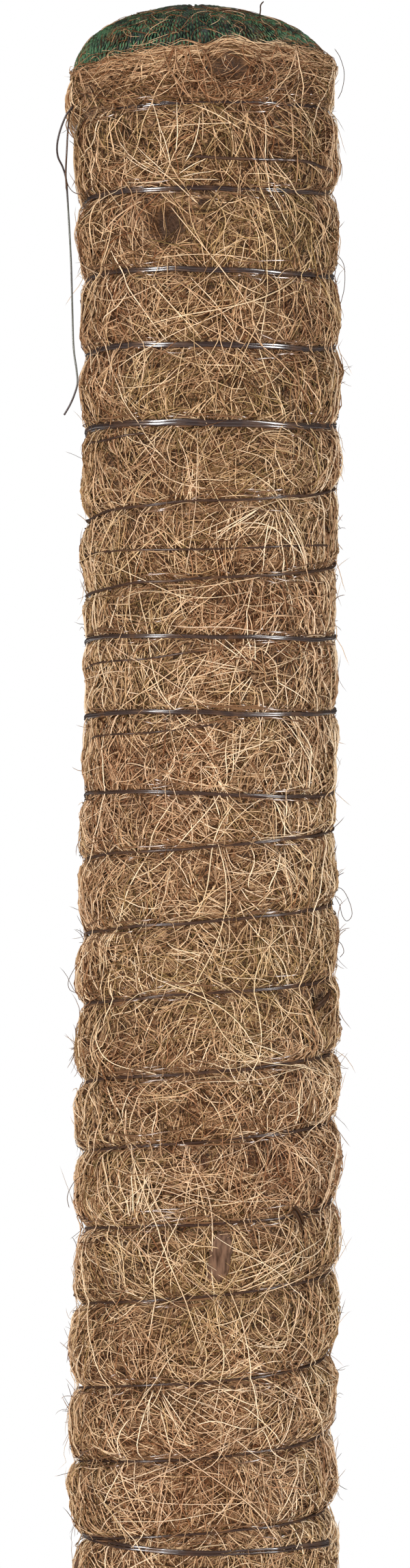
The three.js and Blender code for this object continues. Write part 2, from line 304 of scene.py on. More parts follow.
# Tufts of loose ends on the outline: degrees round from the front, height and count of hairs
TUFTS = (
    (-88, 0.1955, 14),
    (-86, 0.1838, 12),
    (88, 0.2095, 9),
    (87, 0.1905, 9),
    (88, 0.1750, 9),
    (-88, 0.2395, 16),
    (88, 0.2560, 8),
    (88, 0.2385, 12),
    (-88, 0.2570, 8),
    (-87, 0.1690, 10),
    (88, 0.3420, 8),
    (-88, 0.3120, 8),
)

# Points along the dark twig on the dome
TWIG = (
    (0.0080, -0.0016, 0.3984),
    (0.0081, -0.0016, 0.3992),
    (0.0081, -0.0017, 0.3998),
    (0.0083, -0.0017, 0.4002),
    (0.0086, -0.0018, 0.4005),
)

# Laps at the front of the upper edge: degrees round, half width, fibres, curl radius, lean, palest shade
LAPS = (
    (-4, 7.0, 34, 0.010, 0.9, 0.8),
    (12, 8.0, 120, 0.0026, 3.0, 0.6),
)

# The large flake of husk: degrees round from the front, height, width and length
LARGE_FLAKE = (5.5, 0.2093, 0.0034, 0.0078)

# Points along single hairs that stand off the outline
STRAY_HAIRS = (
    (
        (0.0192, -0.0030, 0.2648), (0.0207, -0.0032, 0.2643), (0.0218, -0.0031, 0.2622),
        (0.0221, -0.0030, 0.2604), (0.0213, -0.0029, 0.2595), (0.0206, -0.0028, 0.2604),
        (0.0202, -0.0027, 0.2620), (0.0193, -0.0026, 0.2636),
    ),
    (
        (0.0196, -0.0035, 0.3618), (0.0207, -0.0037, 0.3603), (0.0210, -0.0038, 0.3586),
        (0.0209, -0.0038, 0.3563), (0.0203, -0.0036, 0.3538),
    ),
    (
        (0.0194, -0.0040, 0.3930), (0.0203, -0.0041, 0.3915), (0.0209, -0.0042, 0.3892),
        (0.0206, -0.0042, 0.3868), (0.0199, -0.0041, 0.3852),
    ),
    (
        (-0.0192, -0.0040, 0.2536), (-0.0204, -0.0044, 0.2522), (-0.0213, -0.0046, 0.2503),
        (-0.0211, -0.0046, 0.2491), (-0.0204, -0.0045, 0.2487),
    ),
    (
        (0.0190, -0.0050, 0.2568), (0.0203, -0.0053, 0.2562), (0.0208, -0.0054, 0.2549),
        (0.0202, -0.0053, 0.2540),
    ),
    (
        (-0.0190, -0.0060, 0.2210), (-0.0205, -0.0066, 0.2196), (-0.0214, -0.0070, 0.2176),
        (-0.0211, -0.0070, 0.2158),
    ),
)


class Lamp(NamedTuple):
    """One soft light: degrees round from the front, distance, height, size of its face, and power."""

    name: str
    degrees: float
    distance: float
    height: float
    face: tuple
    power: float
    diffuse: bool = True
    glossy: bool = False
    tint: tuple = (1, 1, 1)


LAMPS = (
    Lamp("warm_strip", -68, 1.3, 0.27, (0.2, 1.8), 3.5, glossy=True, tint=(1.0, 0.55, 0.25)),
    Lamp("left_box", -30, 1.6, 0.22, (0.5, 0.4), 25.0),
    Lamp("right_box", 31, 1.6, 0.22, (0.5, 0.4), 22.5),
    Lamp("back_left", -163, 1.6, 0.6, (1.0, 1.0), 13.0),
    Lamp("back_right", 163, 1.6, 0.6, (1.0, 1.0), 13.0),
    Lamp("left_card", -52, 1.3, 0.7, (0.30, 2.4), 80.0, diffuse=False, glossy=True),
    Lamp("right_card", 63, 1.3, 0.7, (0.30, 2.4), 80.0, diffuse=False, glossy=True),
)


class Layer(NamedTuple):
    """One layer of laid fibres, with pairs for the least and the most of what differs between them.

    bend is the radius of a fibre's curl, spread its stray from the lie of the mat, rise its height over
    the felt, sunk how far the gaps darken it, and over the share of fibres that bridge the grooves. Where
    none does, each fibre keeps to its own roll."""

    name: str
    count: int
    length: tuple
    bend: tuple
    spread: float
    width: tuple
    shade: tuple
    rise: tuple
    # sunk: how deep a fibre lies, which sets how far the painted shade of the gaps darkens it
    sunk: float
    over: float = 0.0
    points: int = 8


# Lengths of fibres, radii of their curls, and widths
DEEP, FELTED, FACING, LONG = (0.010, 0.018), (0.008, 0.016), (0.007, 0.015), (0.016, 0.038)
LOOSE, GENTLE, SLACK = (0.005, 0.020), (0.007, 0.040), (0.02, 0.20)
STOUT, MIXED, FINE = (0.00014, 0.00022), (0.00012, 0.00023), (0.00011, 0.00017)
# Lower layers have darker shades, partly darker fibre and partly painted shade for the depth of the mat
LAYERS = (
    Layer("coir_under_a", 5000, DEEP, LOOSE, 1.2, STOUT, (0.02, 0.30), (-0.00035, -0.00015), 1.0),
    Layer("coir_under_b", 5000, DEEP, LOOSE, 1.0, STOUT, (0.08, 0.45), (-0.00028, -0.00008), 1.0),
    Layer("coir_felt_a", 5200, FELTED, LOOSE, 0.6, FINE, (0.15, 0.65), (-0.00018, 0.00003), 1.0),
    Layer("coir_felt_b", 5200, FELTED, LOOSE, 0.6, FINE, (0.22, 0.76), (-0.00012, 0.00010), 0.9),
    Layer("coir_felt_c", 5200, FELTED, LOOSE, 0.6, FINE, (0.28, 0.86), (-0.00006, 0.00016), 0.8),
    Layer("coir_felt_d", 5200, FELTED, GENTLE, 0.6, FINE, (0.32, 0.92), (0.0, 0.00024), 0.6),
    Layer("coir_face_a", 4600, FACING, GENTLE, 0.6, MIXED, (0.26, 0.98), (0.00005, 0.00032), 0.45),
    Layer("coir_face_b", 4200, FACING, GENTLE, 0.6, MIXED, (0.40, 0.99), (0.00010, 0.00042), 0.2),
    Layer("coir_face_c", 3000, FACING, GENTLE, 0.8, MIXED, (0.05, 1.02), (0.00015, 0.00050), 0.0),
    Layer("coir_cross", 2200, FACING, GENTLE, 1.0, FINE, (0.30, 1.00), (0.00010, 0.00035), 0.0, 0.9, 9),
    Layer("coir_long", 380, LONG, SLACK, 1.2, MIXED, (0.80, 1.1), (0.0003, 0.0005), 0.0, 0.5, 22),
)


def size(name, description, default):
    """A length that the user may change."""
    return FloatProperty(name=name, description=description, default=default, unit="LENGTH", precision=5)


def number(name, description, default):
    """A plain number that the user may change."""
    return FloatProperty(name=name, description=description, default=default)


def tally(name, description, default):
    """A count that the user may change."""
    return IntProperty(name=name, description=description, default=default, min=0)


def colour(name, description, default):
    """A linear colour that the user may change."""
    return FloatVectorProperty(
        name=name, description=description, default=default, subtype="COLOR", size=3, min=0, max=1
    )


class PoleSizes(bpy.types.PropertyGroup):
    """Sizes of the pole's pieces, as its frame has them."""

    crest_radius: size("Crest radius", "Radius of the coir rolls between turns of thread", MAT_HIGH.y)
    groove_depth: size("Groove depth", "How far the thread presses the coir in", 0.0027)
    swell_per_pitch: number("Swell per pitch", "Most a roll swells for each length between turns", 0.25)
    waist_depth: size("Waist depth", "How far the slack waist is drawn in", 0.001)
    waist_height: size("Waist height", "Height of the slack waist", 0.3)
    waist_span: size("Waist span", "Half height of the slack waist", 0.06)
    mat_foot: size("Mat foot", "Height of the coir's lower edge", MAT_LOW.z)
    foot_round: size("Foot rounding", "How far the coir's lower edge is drawn in", 0.0012)
    fibre_depth: size("Fibre depth", "Thickness of the loose fibre over the felt", 0.00035)
    edge_rise: size("Edge rise", "Height of the coir's upper edge above the dome's base", 0.0020)
    edge_tilt: size("Edge tilt", "How much higher the upper edge is on the right", 0.0011)
    edge_front: size("Edge front", "How much higher the upper edge is at the front", 0.0012)
    edge_mound: size("Edge mound", "Height of the mound of curls on the upper edge", 0.0013)
    crown_cover: size("Crown cover", "Thickness of the coir over the net at its upper edge", 0.0004)
    crown_fill: size("Crown fill", "How much the fibre fills the groove of the upper tie", 0.0008)
    dome_height: size("Dome height", "Height of the net dome", 0.012)
    dome_radius: size("Dome radius", "Radius of the net dome at its base", 0.0200)
    dome_fullness: number("Dome fullness", "How full the dome's shoulder is, where 2 is an ellipse", 2.4)
    pole_top: size("Pole top", "Height of the dome's top", NET_HIGH.z)
    neck_height: size("Neck height", "Height of the net's neck under the dome", 0.004)
    net_radius: size("Net radius", "Radius of the net sleeve under the coir", 0.016)
    net_hem: size("Net hem", "Height of the net sleeve's lower hem", NET_LOW.z)
    net_wall: size("Net wall", "Thickness of the net cloth", 0.0003)
    pipe_wall: size("Pipe wall", "Wall of the core pipe", 0.0019)


class ThreadSizes(bpy.types.PropertyGroup):
    """How the binding thread is wound."""

    turns: tally("Turns", "Turns of thread from knot to knot", 24)
    upper_tie: size("Upper tie", "Height of the upper tie loop", 0.384)
    tie_pitch: size("Tie pitch", "Height of the close loop at each end", 0.002)
    pitch: size("Pitch", "Height from one turn to the next", 0.0113)
    drift: size("Drift", "How far the turns wander up and down", 0.0021)
    drift_turns: number("Drift turns", "Turns in one wander", 17)
    level_upper: number("Upper level", "How level the upper turns lie across the front", 1.25)
    level_lower: number("Lower level", "How level the lower turns lie across the front", 0.28)
    level_turn: number("Level change", "Turn where the lie of the thread changes", 10.25)
    level_span: number("Level span", "Turns over which the lie changes", 1)
    centre_radius: size("Centre radius", "Radius of the thread's middle", 0.0186)
    tail_diameter: size("Tail diameter", "Diameter of the strand left hanging", 0.00031)


class FibreSizes(bpy.types.PropertyGroup):
    """How much fibre there is besides the laid layers."""

    fans: tally("Fans", "Fans of pale fibre pinched under the thread, all round", 18)
    fan_rays: tally("Fan rays", "Fibres in one fan", 8)
    fuzz: tally("Fuzz", "Short hairs with a free end", 2300)
    crown_strays: tally("Crown strays", "Fibres straying over the net dome", 900)
    foot_fringe: tally("Foot fringe", "Fibres hanging from the coir's lower edge", 420)
    edging: tally("Edging", "Fibres combed along the coir's upper edge", 900)
    flakes: tally("Husk flakes", "Flakes of husk caught in the fibre, besides the large one", 14)
    net_wales: tally("Net wales", "Rows of stitches round the net", 220)


class PoleColours(bpy.types.PropertyGroup):
    """Colours of the pole's finishes."""

    # coir_dark is the darkest fibre, and also the painted shade in the mat's gaps and pockets
    coir_dark: colour("Coir in the gaps", "Darkest fibre, deep in the felt", (0.030, 0.013, 0.006))
    coir_brown: colour("Brown coir", "Fibre of the lower layers", (0.165, 0.078, 0.032))
    coir_tan: colour("Tan coir", "Most of the fibre that shows", (0.435, 0.267, 0.145))
    coir_straw: colour("Straw coir", "Fibre of the face", (0.645, 0.446, 0.268))
    coir_pale: colour("Pale coir", "Long single fibres", (0.850, 0.668, 0.468))
    coir_olive: colour("Olive coir", "Greenish straw that tints some fibre", (0.400, 0.270, 0.095))
    husk_red: colour("Husk red", "Reddish husk that tints some fibre", (0.300, 0.105, 0.042))
    husk_brown: colour("Husk brown", "Flakes of husk", (0.130, 0.070, 0.042))
    net_green: colour("Net green", "Yarn of the net", (0.062, 0.146, 0.070))
    # The net's dark colour is painted shade between and under its yarns
    net_painted_shade: colour("Net shade", "Net between its yarns", (0.010, 0.018, 0.013))
    thread_dark: colour("Thread", "Dark glossy binding thread", (0.024, 0.013, 0.011))
    tail_grey: colour("Tail", "Thin grey strand left hanging", (0.085, 0.088, 0.072))
    pipe_grey: colour("Pipe", "Plastic core pipe", (0.360, 0.370, 0.364))
    pipe_scuff: colour("Pipe scuffs", "Rubbed marks on the pipe", (0.240, 0.240, 0.235))
    plug_black: colour("Plug", "Moulded end plugs", (0.022, 0.022, 0.024))
    plug_rubbed: colour("Rubbed plug", "Pale rubbed places on the plugs", (0.100, 0.100, 0.100))
    floor_pale: colour("Floor", "Studio floor", (0.860, 0.855, 0.845))


def sizes():
    """The pole's sizes as set."""
    return bpy.context.scene.coir_pole_sizes


def winding():
    """The thread's sizes as set."""
    return bpy.context.scene.coir_pole_thread


def fibre():
    """The amounts of fibre as set."""
    return bpy.context.scene.coir_pole_fibre


def colours():
    """The colours as set."""
    return bpy.context.scene.coir_pole_colours


def smooth(low, high, value):
    """Rises from 0 to 1 between two limits, with level ends."""
    share = np.clip((value - low) / (high - low), 0, 1)
    return share * share * (3 - 2 * share)


def around(degrees):
    """Angle about the axis of a place so many degrees to the right of the front."""
    return FRONT + math.radians(degrees)


def aside(angle, degrees):
    """Angle from a place so many degrees to the right of the front, at most half a turn either way."""
    return np.remainder(angle - around(degrees) + math.pi, TURN) - math.pi


def thread_angle(turn):
    """Angle about the axis of the thread after so many turns."""
    return math.pi - TURN * turn


def arc_length(radius, height):
    """Length along a profile, from its first point."""
    return np.concatenate([[0], np.cumsum(np.hypot(np.diff(radius), np.diff(height)))])


class Waves:
    """Smooth random swells over the pole's skin: seeded sine waves that close round the pole."""

    def __init__(self, seed, shortest, longest, count=16):
        draw = np.random.default_rng(seed)
        length = np.exp(draw.uniform(math.log(shortest), math.log(longest), count))
        heading = draw.uniform(0, math.pi, count)
        self.round = np.round(TURN * sizes().crest_radius / length * np.cos(heading))
        self.up = TURN / length * np.sin(heading)
        self.phase = draw.uniform(0, TURN, count)

    def at(self, angle, height):
        """Swell at a place, with a spread of about one."""
        total = 0
        for turns, up, phase in zip(self.round, self.up, self.phase):
            total = total + np.sin(turns * angle + up * height + phase)
        return total * math.sqrt(2 / len(self.phase))


class Form:
    """The pole's surfaces as formulas, from the sizes that are set."""

    def __init__(self):
        self.sizes, self.thread = sizes(), winding()
        self.groove = self.sizes.crest_radius - self.sizes.groove_depth
        self.dome_base = self.sizes.pole_top - self.sizes.dome_height
        self.neck = self.dome_base - self.sizes.neck_height
        self.first_turn = self.thread.upper_tie - self.thread.tie_pitch
        self.last_plain = self.thread.turns - 1
        self.lumps = Waves(11, 0.007, 0.024)
        self.grit = Waves(12, 0.0022, 0.005, 24)
        self.fullness = Waves(13, 0.018, 0.060)
        self.lie = Waves(14, 0.008, 0.030)
        self.tint = Waves(15, 0.012, 0.070)
        self.rag = Waves(16, 0.004, 0.030)

    def plain_height(self, turn):
        """Height of the thread between its two tie loops."""
        t = self.thread
        start = t.level_turn - t.level_span / 2
        level = t.level_upper + (t.level_lower - t.level_upper) * smooth(start, start + t.level_span, turn)
        fall = t.pitch * (turn - 1) + self.wander(turn) - self.wander(1)
        levelling = t.pitch * (level * np.cos(TURN * turn) - t.level_upper) / TURN
        return self.first_turn - fall + levelling

    def wander(self, turn):
        """Slow drift of the turns, counted from the first that crosses the front."""
        return self.thread.drift * np.sin(TURN * (turn - FIRST_CROSSING) / self.thread.drift_turns)

    def turn_height(self, turn):
        """Height of the thread after so many turns."""
        t = self.thread
        tie = t.upper_tie - t.tie_pitch * turn
        end = self.plain_height(self.last_plain) - t.tie_pitch * (turn - self.last_plain)
        even = np.where(turn < 1, tie, np.where(turn > self.last_plain, end, self.plain_height(turn)))
        return even + np.interp(turn, *zip(*THREAD_NUDGES))

    def net_outside(self, height):
        """Outside radius of the net at a height."""
        s = self.sizes
        flare = np.clip((height - self.neck) / s.neck_height, 0, 1)
        rise = np.clip((height - self.dome_base) / s.dome_height, 0, 1)
        neck = s.net_radius + flare * (s.dome_radius - s.net_radius)
        return neck * np.sqrt(1 - rise**s.dome_fullness)

    def dome(self, angle):
        """Radius and height of the net dome, from its base at 0 to its top at a quarter turn."""
        s = self.sizes
        rise = np.sin(angle) ** (2 / s.dome_fullness)
        return s.dome_radius * np.cos(angle), self.dome_base + s.dome_height * rise

    def edge_height(self, angle):
        """Height of the coir's ragged upper edge."""
        s = self.sizes
        ragged = RAG_RISE * self.rag.at(angle, 0)
        front = s.edge_front * np.maximum(-np.sin(angle), 0)
        mound = s.edge_mound * np.exp(-((aside(angle, MOUND_MIDDLE) / MOUND_HALF) ** 2))
        return self.dome_base + s.edge_rise + s.edge_tilt * np.cos(angle) + front + mound + ragged

    def slack(self, height):
        """How much further out the thread lies where it is slack."""
        away = (height - self.sizes.waist_height) / self.sizes.waist_span
        return SLACK_OUT * np.exp(-2 * away * away)

    def crest(self, height):
        """Radius of the felt's rolls at a height, drawn in at the waist and rounded at both ends."""
        s = self.sizes
        away = (height - s.waist_height) / s.waist_span
        roll = s.crest_radius - s.fibre_depth - s.waist_depth * np.exp(-away * away)
        near_foot = 1 - np.clip((height - s.mat_foot) / FOOT_ROUNDING, 0, 1)
        roll = roll - s.foot_round * near_foot * near_foot
        over_net = np.minimum(roll, self.net_outside(height) + s.crown_cover)
        return np.where(height > self.dome_base, over_net, roll)

    def roll_of(self, angle, height):
        """The roll that a place is in, counted by the turns above it, and the share of a turn there."""
        part = (math.pi - angle) / TURN % 1
        turns = np.minimum(part[..., None] + np.arange(self.thread.turns + 1), self.thread.turns)
        return (self.turn_height(turns) >= height[..., None]).sum(-1), part

    def bounds_of(self, roll, part):
        """Heights of the thread above and below a roll."""
        above = np.clip(roll - 1 + part, 0, self.thread.turns)
        below = np.clip(roll + part, 0, self.thread.turns)
        return self.turn_height(above), self.turn_height(below)

    def felt(self, angle, height):
        """Radius of the felt."""
        return self.mat(angle, height)[0]

    def mat(self, angle, height, place=None):
        """Radius of the felt, how far out of the grooves it is, from 0 to 1, and the crest of its roll."""
        angle, height = np.broadcast_arrays(np.asarray(angle, float), np.asarray(height, float))
        roll, part = place or self.roll_of(angle, height)
        upper, lower = self.bounds_of(roll, part)
        at_crown, at_foot = roll == 0, roll > self.thread.turns
        upper = np.where(at_crown, 2 * self.dome_base - lower, upper)
        lower = np.where(at_foot, upper - (upper - self.sizes.mat_foot) * 2 / 3, lower)
        share = np.clip((upper - height) / np.maximum(upper - lower, 1e-6), 0, 1)
        share = np.where(at_crown & (height > self.dome_base), 0.5, share)
        share = np.where(at_foot & (share > 0.5), 0.5, share)

        crest = self.crest(height)
        filled = self.sizes.crown_fill * smooth(*TIE_FILL_HEIGHTS, height)
        groove = self.groove + self.slack(height) + filled
        limit = self.sizes.swell_per_pitch * (upper - lower)
        swell = np.where(at_crown | at_foot, crest - groove, np.minimum(crest - groove, limit))
        relief = np.power(1 - np.abs(2 * share - 1) ** CREST_FLATNESS, SIDE_STEEPNESS)
        swell = swell * (1 + FULLNESS_SPREAD * self.fullness.at(angle, height))
        lump = LUMP_RISE * self.lumps.at(angle, height) + GRIT_RISE * self.grit.at(angle, height)
        radius = groove + swell * relief + lump * (0.2 + 0.8 * relief)
        floor = np.minimum(radius, self.net_outside(height) + LEAST_FELT)
        hollow = np.maximum(radius - POCKET_DEPTH * self.pocket(angle, height), floor)
        return hollow, relief, np.maximum(crest, radius)

    def pocket(self, angle, height):
        """How deep in one of the dark pockets a place lies, from 0 to 1."""
        depth = np.zeros(np.shape(angle))
        for degrees, middle, half_width, half_height in POCKETS:
            across = aside(angle, degrees) * self.sizes.crest_radius / half_width
            away = across * across + ((height - middle) / half_height) ** 2
            depth = np.maximum(depth, np.exp(-away * away))
        return depth

    def point(self, angle, radius, height):
        """A place in the soft layers, with their lean."""
        angle, radius, height = np.broadcast_arrays(angle, radius, height)
        lean = np.interp(height, *zip(*SWAY))
        return np.stack([radius * np.cos(angle) + lean, radius * np.sin(angle), height], -1)


class Value:
    """One shader value. Expressions on it add Math nodes to its tree."""

    def __init__(self, nodes, socket):
        self.nodes, self.socket = nodes, socket

    def made(self, operation, *terms):
        """The result of one Math node."""
        return self.nodes.node("ShaderNodeMath", {"operation": operation}, dict(enumerate(terms)))[0]

    def __add__(self, other):
        return self.made("ADD", self, other)

    def __sub__(self, other):
        return self.made("SUBTRACT", self, other)

    def __rsub__(self, other):
        return self.made("SUBTRACT", other, self)

    def __mul__(self, other):
        return self.made("MULTIPLY", self, other)

    __radd__, __rmul__ = __add__, __mul__

    def most(self, other):
        """The greater of two values."""
        return self.made("MAXIMUM", self, other)

    def between(self, low, high):
        """Rises from 0 to 1 between two limits."""
        settings = {"interpolation_type": "SMOOTHSTEP"}
        inputs = {"Value": self, "From Min": low, "From Max": high}
        return self.nodes.node("ShaderNodeMapRange", settings, inputs)[0]


class Node:
    """A shader node whose outputs are values."""

    def __init__(self, nodes, node):
        self.nodes, self.node = nodes, node

    def __getitem__(self, name):
        return Value(self.nodes, self.node.outputs[name])


class Nodes:
    """A node tree that grows node by node."""

    def __init__(self, tree):
        self.tree = tree

    def node(self, kind, settings=None, inputs=None):
        """A node of any kind, with its settings and the values or links of its sockets."""
        made = self.tree.nodes.new(kind)
        for name, value in (settings or {}).items():
            if name == "stops":
                self.set_stops(made.color_ramp.elements, value)
            else:
                setattr(made, name, value)
        for name, value in (inputs or {}).items():
            self.feed(made.inputs[name], value)
        return Node(self, made)

    def set_stops(self, elements, stops):
        """Places a ramp's stops."""
        while len(elements) < len(stops):
            elements.new(1)
        for element, (position, shade) in zip(elements, stops):
            element.position, element.color = position, (*shade, 1)

    def feed(self, socket, value):
        """Links a value to a socket, or sets the socket."""
        if isinstance(value, Value):
            self.tree.links.new(value.socket, socket)
        elif socket.type == "RGBA":
            socket.default_value = (*value, 1)
        else:
            socket.default_value = value

    def height(self, place):
        """Height of a place."""
        return self.node("ShaderNodeSeparateXYZ", None, {"Vector": place})["Z"]


class Finish(Nodes):
    """A material built from expressions round one Principled shader."""

    def __init__(self, name, **constants):
        self.material = bpy.data.materials.new(name)
        self.material.use_nodes = True
        super().__init__(self.material.node_tree)
        self.shader = next(n for n in self.tree.nodes if n.type == "BSDF_PRINCIPLED")
        self.place = self.node("ShaderNodeTexCoord")["Object"]
        for socket, value in constants.items():
            self.shader.inputs[socket.replace("_", " ")].default_value = value

    def turned(self, angle):
        """The place turned about the pole's axis, so that upright streaks come out slanted."""
        inputs = {"Vector": self.place, "Angle": angle}
        return self.node("ShaderNodeVectorRotate", {"rotation_type": "Z_AXIS"}, inputs)["Vector"]

    def noise(self, scale, detail=2.0, stretch=(1, 1, 1), place=None):
        """Cloudy noise over the surface, with so many clouds to the metre."""
        inputs = {0: place or self.place, 1: tuple(scale * x for x in stretch)}
        spread = self.node("ShaderNodeVectorMath", {"operation": "MULTIPLY"}, inputs)["Vector"]
        inputs = {"Vector": spread, "Scale": 1.0, "Detail": detail}
        return self.node("ShaderNodeTexNoise", None, inputs)["Fac"]

    def gaps(self):
        """Painted shade in small slanting gaps of the mat, where light does not reach in."""
        height = self.height(self.place)
        swirl = self.noise(160, 1.0) * 0.6
        rising, falling = (
            self.noise(1000, 1.0, (1, 1, 0.4), self.turned(height * twist + swirl)).between(0.55, 0.68)
            for twist in (-70, 70)
        )
        return rising.most(falling)

    def held(self, name):
        """A number that the mesh holds for each of its points."""
        return self.node("ShaderNodeAttribute", {"attribute_name": name})["Fac"]

    def ramp(self, value, stops):
        """A colour picked along a ramp."""
        return self.node("ShaderNodeValToRGB", {"stops": stops}, {"Fac": value})["Color"]

    def mixed(self, factor, first, second):
        """A colour between two others."""
        inputs = {MIX_FACTOR: factor, MIX_FIRST: first, MIX_SECOND: second}
        return self.node("ShaderNodeMix", {"data_type": "RGBA"}, inputs)[MIX_RESULT]

    def set(self, socket, value):
        """Feeds one of the shader's sockets."""
        self.feed(self.shader.inputs[socket], value)

    def bump(self, height, distance, strength=1.0):
        """Raises the surface by a value."""
        inputs = {"Height": height, "Distance": distance, "Strength": strength}
        self.set("Normal", self.node("ShaderNodeBump", None, inputs)["Normal"])


def fibre_finish():
    """Coir fibres, each with its own shade, tinted in patches, with painted shade in the gaps of the mat
    that darkens the deeper fibres most.
    """
    c = colours()
    finish = Finish("coir_fibre", Specular_IOR_Level=0.07)
    stops = (
        (0.0, c.coir_dark),
        (0.25, c.coir_brown),
        (0.52, c.coir_tan),
        (0.76, c.coir_straw),
        (1.0, c.coir_pale),
    )
    mottle = finish.noise(900, 1.0)
    # Painted shade: the gaps darken each fibre by how deep it lies in the mat
    shade = finish.held("shade") + 0.25 * (mottle - 0.5) - 0.65 * finish.gaps() * finish.held("sunk")
    base = finish.ramp(shade, stops)
    tone = finish.held("tone")
    olive = finish.mixed((1 - tone).between(0.45, 1.1) * 0.45, base, c.coir_olive)
    finish.set("Base Color", finish.mixed(tone.between(0.45, 1.1) * 0.4, olive, c.husk_red))
    finish.set("Roughness", 0.62 - 0.2 * mottle)
    return finish.material


def felt_finish(name):
    """Matted fibre under the laid layers: fine streaks crossing at many slopes, with painted shade in the
    gaps between and in the pockets.
    """
    c = colours()
    finish = Finish(name, Specular_IOR_Level=0.2)
    height = finish.height(finish.place)
    swirl = finish.noise(130, 1.0) * 0.5
    fineness, level, upright = 3300, (0.1, 0.1, 1), (1, 1, 0.1)
    strands = finish.noise(fineness, 1.0, level).between(0.48, 0.68) * 0.8
    for twist, strength in ((-150, 0.7), (-60, 1.0), (-15, 0.6), (30, 0.85), (75, 0.95), (160, 0.75)):
        turned = finish.turned(height * twist + swirl)
        streaks = finish.noise(fineness, 1.0, upright, turned).between(0.50, 0.68)
        strands = strands.most(streaks * strength)
    # Painted shade: the felt darkens in the pockets and in the gaps, where light does not reach in
    hollow = (1.25 * finish.held("pocket")).most(finish.gaps())
    shade = strands * (0.55 + 0.6 * finish.noise(140, 2.0)) * (1 - 0.75 * hollow)
    stops = ((0.0, c.coir_dark), (0.45, c.coir_brown), (1.0, c.coir_tan))
    finish.set("Base Color", finish.ramp(shade, stops))
    finish.set("Roughness", 0.95 - 0.2 * strands)
    finish.bump(strands, 0.00025, 0.9)
    return finish.material


def thread_finish():
    """Dark thread with a little dust, a glossy coat that is worn lower down, and browner frayed strips."""
    c = colours()
    finish = Finish("binding_thread", Specular_IOR_Level=0.06, Coat_Roughness=0.17, Coat_IOR=1.6)
    dust = finish.noise(420, 3.0).between(0.45, 0.75)
    wear, brown = finish.held("shade"), finish.held("tone")
    browned = dust * 0.3 + wear * 0.1 + brown * 0.6
    finish.set("Base Color", finish.mixed(browned, c.thread_dark, c.coir_brown))
    finish.set("Roughness", 0.5 + 0.2 * dust)
    finish.set("Coat Weight", (1 - 0.85 * wear) * (1 - 0.4 * dust))
    return finish.material


def tail_finish():
    """Thin grey strand, darker in places, on its loop and at its bare end."""
    c = colours()
    finish = Finish("tail_strand", Specular_IOR_Level=0.5)
    height = finish.height(finish.place)
    loop, bare_end = (0.374, 0.377), (0.340, 0.344)
    ends = height.between(*loop).most(1 - height.between(*bare_end))
    dark = finish.noise(90, 2.0).between(0.45, 0.62).most(ends)
    finish.set("Base Color", finish.mixed(dark, c.tail_grey, c.thread_dark))
    finish.set("Roughness", 0.35 + 0.2 * dark)
    return finish.material


def net_yarn_finish():
    """Green net yarn, with painted shade that darkens each stitch in the valley between its loops, dusted
    with coir.
    """
    c = colours()
    finish = Finish("net_yarn", Specular_IOR_Level=0.1)
    stitch = finish.held("shade")
    patches = finish.noise(260, 2.0)
    # Painted shade: each stitch darkens towards the valley between its loops
    deep = finish.mixed(stitch, c.net_painted_shade, c.net_green)
    finish.set("Base Color", finish.mixed(patches.between(0.52, 0.75) * 0.45, deep, c.coir_brown))
    finish.set("Roughness", 0.68 - 0.2 * stitch)
    return finish.material


def net_cloth_finish():
    """Ground of the net: nearly black green, painted shade between the yarns, with brown stuffing showing
    through.
    """
    c = colours()
    finish = Finish("net_cloth", Specular_IOR_Level=0.3)
    stuffing = finish.noise(700, 2.0)
    finish.set("Base Color", finish.mixed(stuffing.between(0.48, 0.66), c.net_painted_shade, c.coir_brown))
    finish.set("Roughness", 0.9 - 0.2 * stuffing)
    finish.bump(stuffing, 0.0002, 0.6)
    return finish.material


def pipe_finish():
    """Drawn grey plastic with fine lines along it, scuffs, and a stain of soil low down."""
    c = colours()
    finish = Finish("pipe_plastic", Specular_IOR_Level=0.08)
    lines = finish.noise(900, 2.0, (1, 1, 0.02))
    scuffs = finish.noise(320, 4.0, (1, 1, 0.25)).between(0.60, 0.72)
    height = finish.height(finish.place)
    low = 1 - height.between(0.004, 0.05)
    stain = low * finish.noise(150, 4.0).between(0.42, 0.70)
    worn = finish.mixed(scuffs * 0.25 + 0.06 * lines, c.pipe_grey, c.pipe_scuff)
    finish.set("Base Color", finish.mixed(stain * 0.35, worn, c.coir_brown))
    finish.set("Roughness", 0.45 + 0.12 * lines + 0.25 * scuffs)
    finish.bump(lines, 0.00003, 0.5)
    return finish.material


def plug_finish():
    """Moulded black plastic, finely grained and rubbed pale in places."""
    c = colours()
    finish = Finish("plug_plastic", Specular_IOR_Level=0.15)
    grain = finish.noise(2600, 2.0)
    rubbed = finish.noise(240, 4.0).between(0.58, 0.74)
    finish.set("Base Color", finish.mixed(rubbed * 0.4, c.plug_black, c.plug_rubbed))
    finish.set("Roughness", 0.46 + 0.14 * grain + 0.14 * rubbed)
    finish.bump(grain, 0.00004, 0.5)
    return finish.material


def husk_finish():
    """Flakes of reddish husk, streaked along the pole."""
    c = colours()
    finish = Finish("husk_flake", Specular_IOR_Level=0.1)
    streaks = finish.noise(1600, 3.0, (1, 1, 0.18))
    stops = ((0.3, c.coir_dark), (0.6, c.husk_brown), (0.85, c.coir_brown))
    finish.set("Base Color", finish.ramp(streaks, stops))
    finish.set("Roughness", 0.9 - 0.2 * streaks)
    finish.bump(streaks, 0.0002, 0.8)
    return finish.material


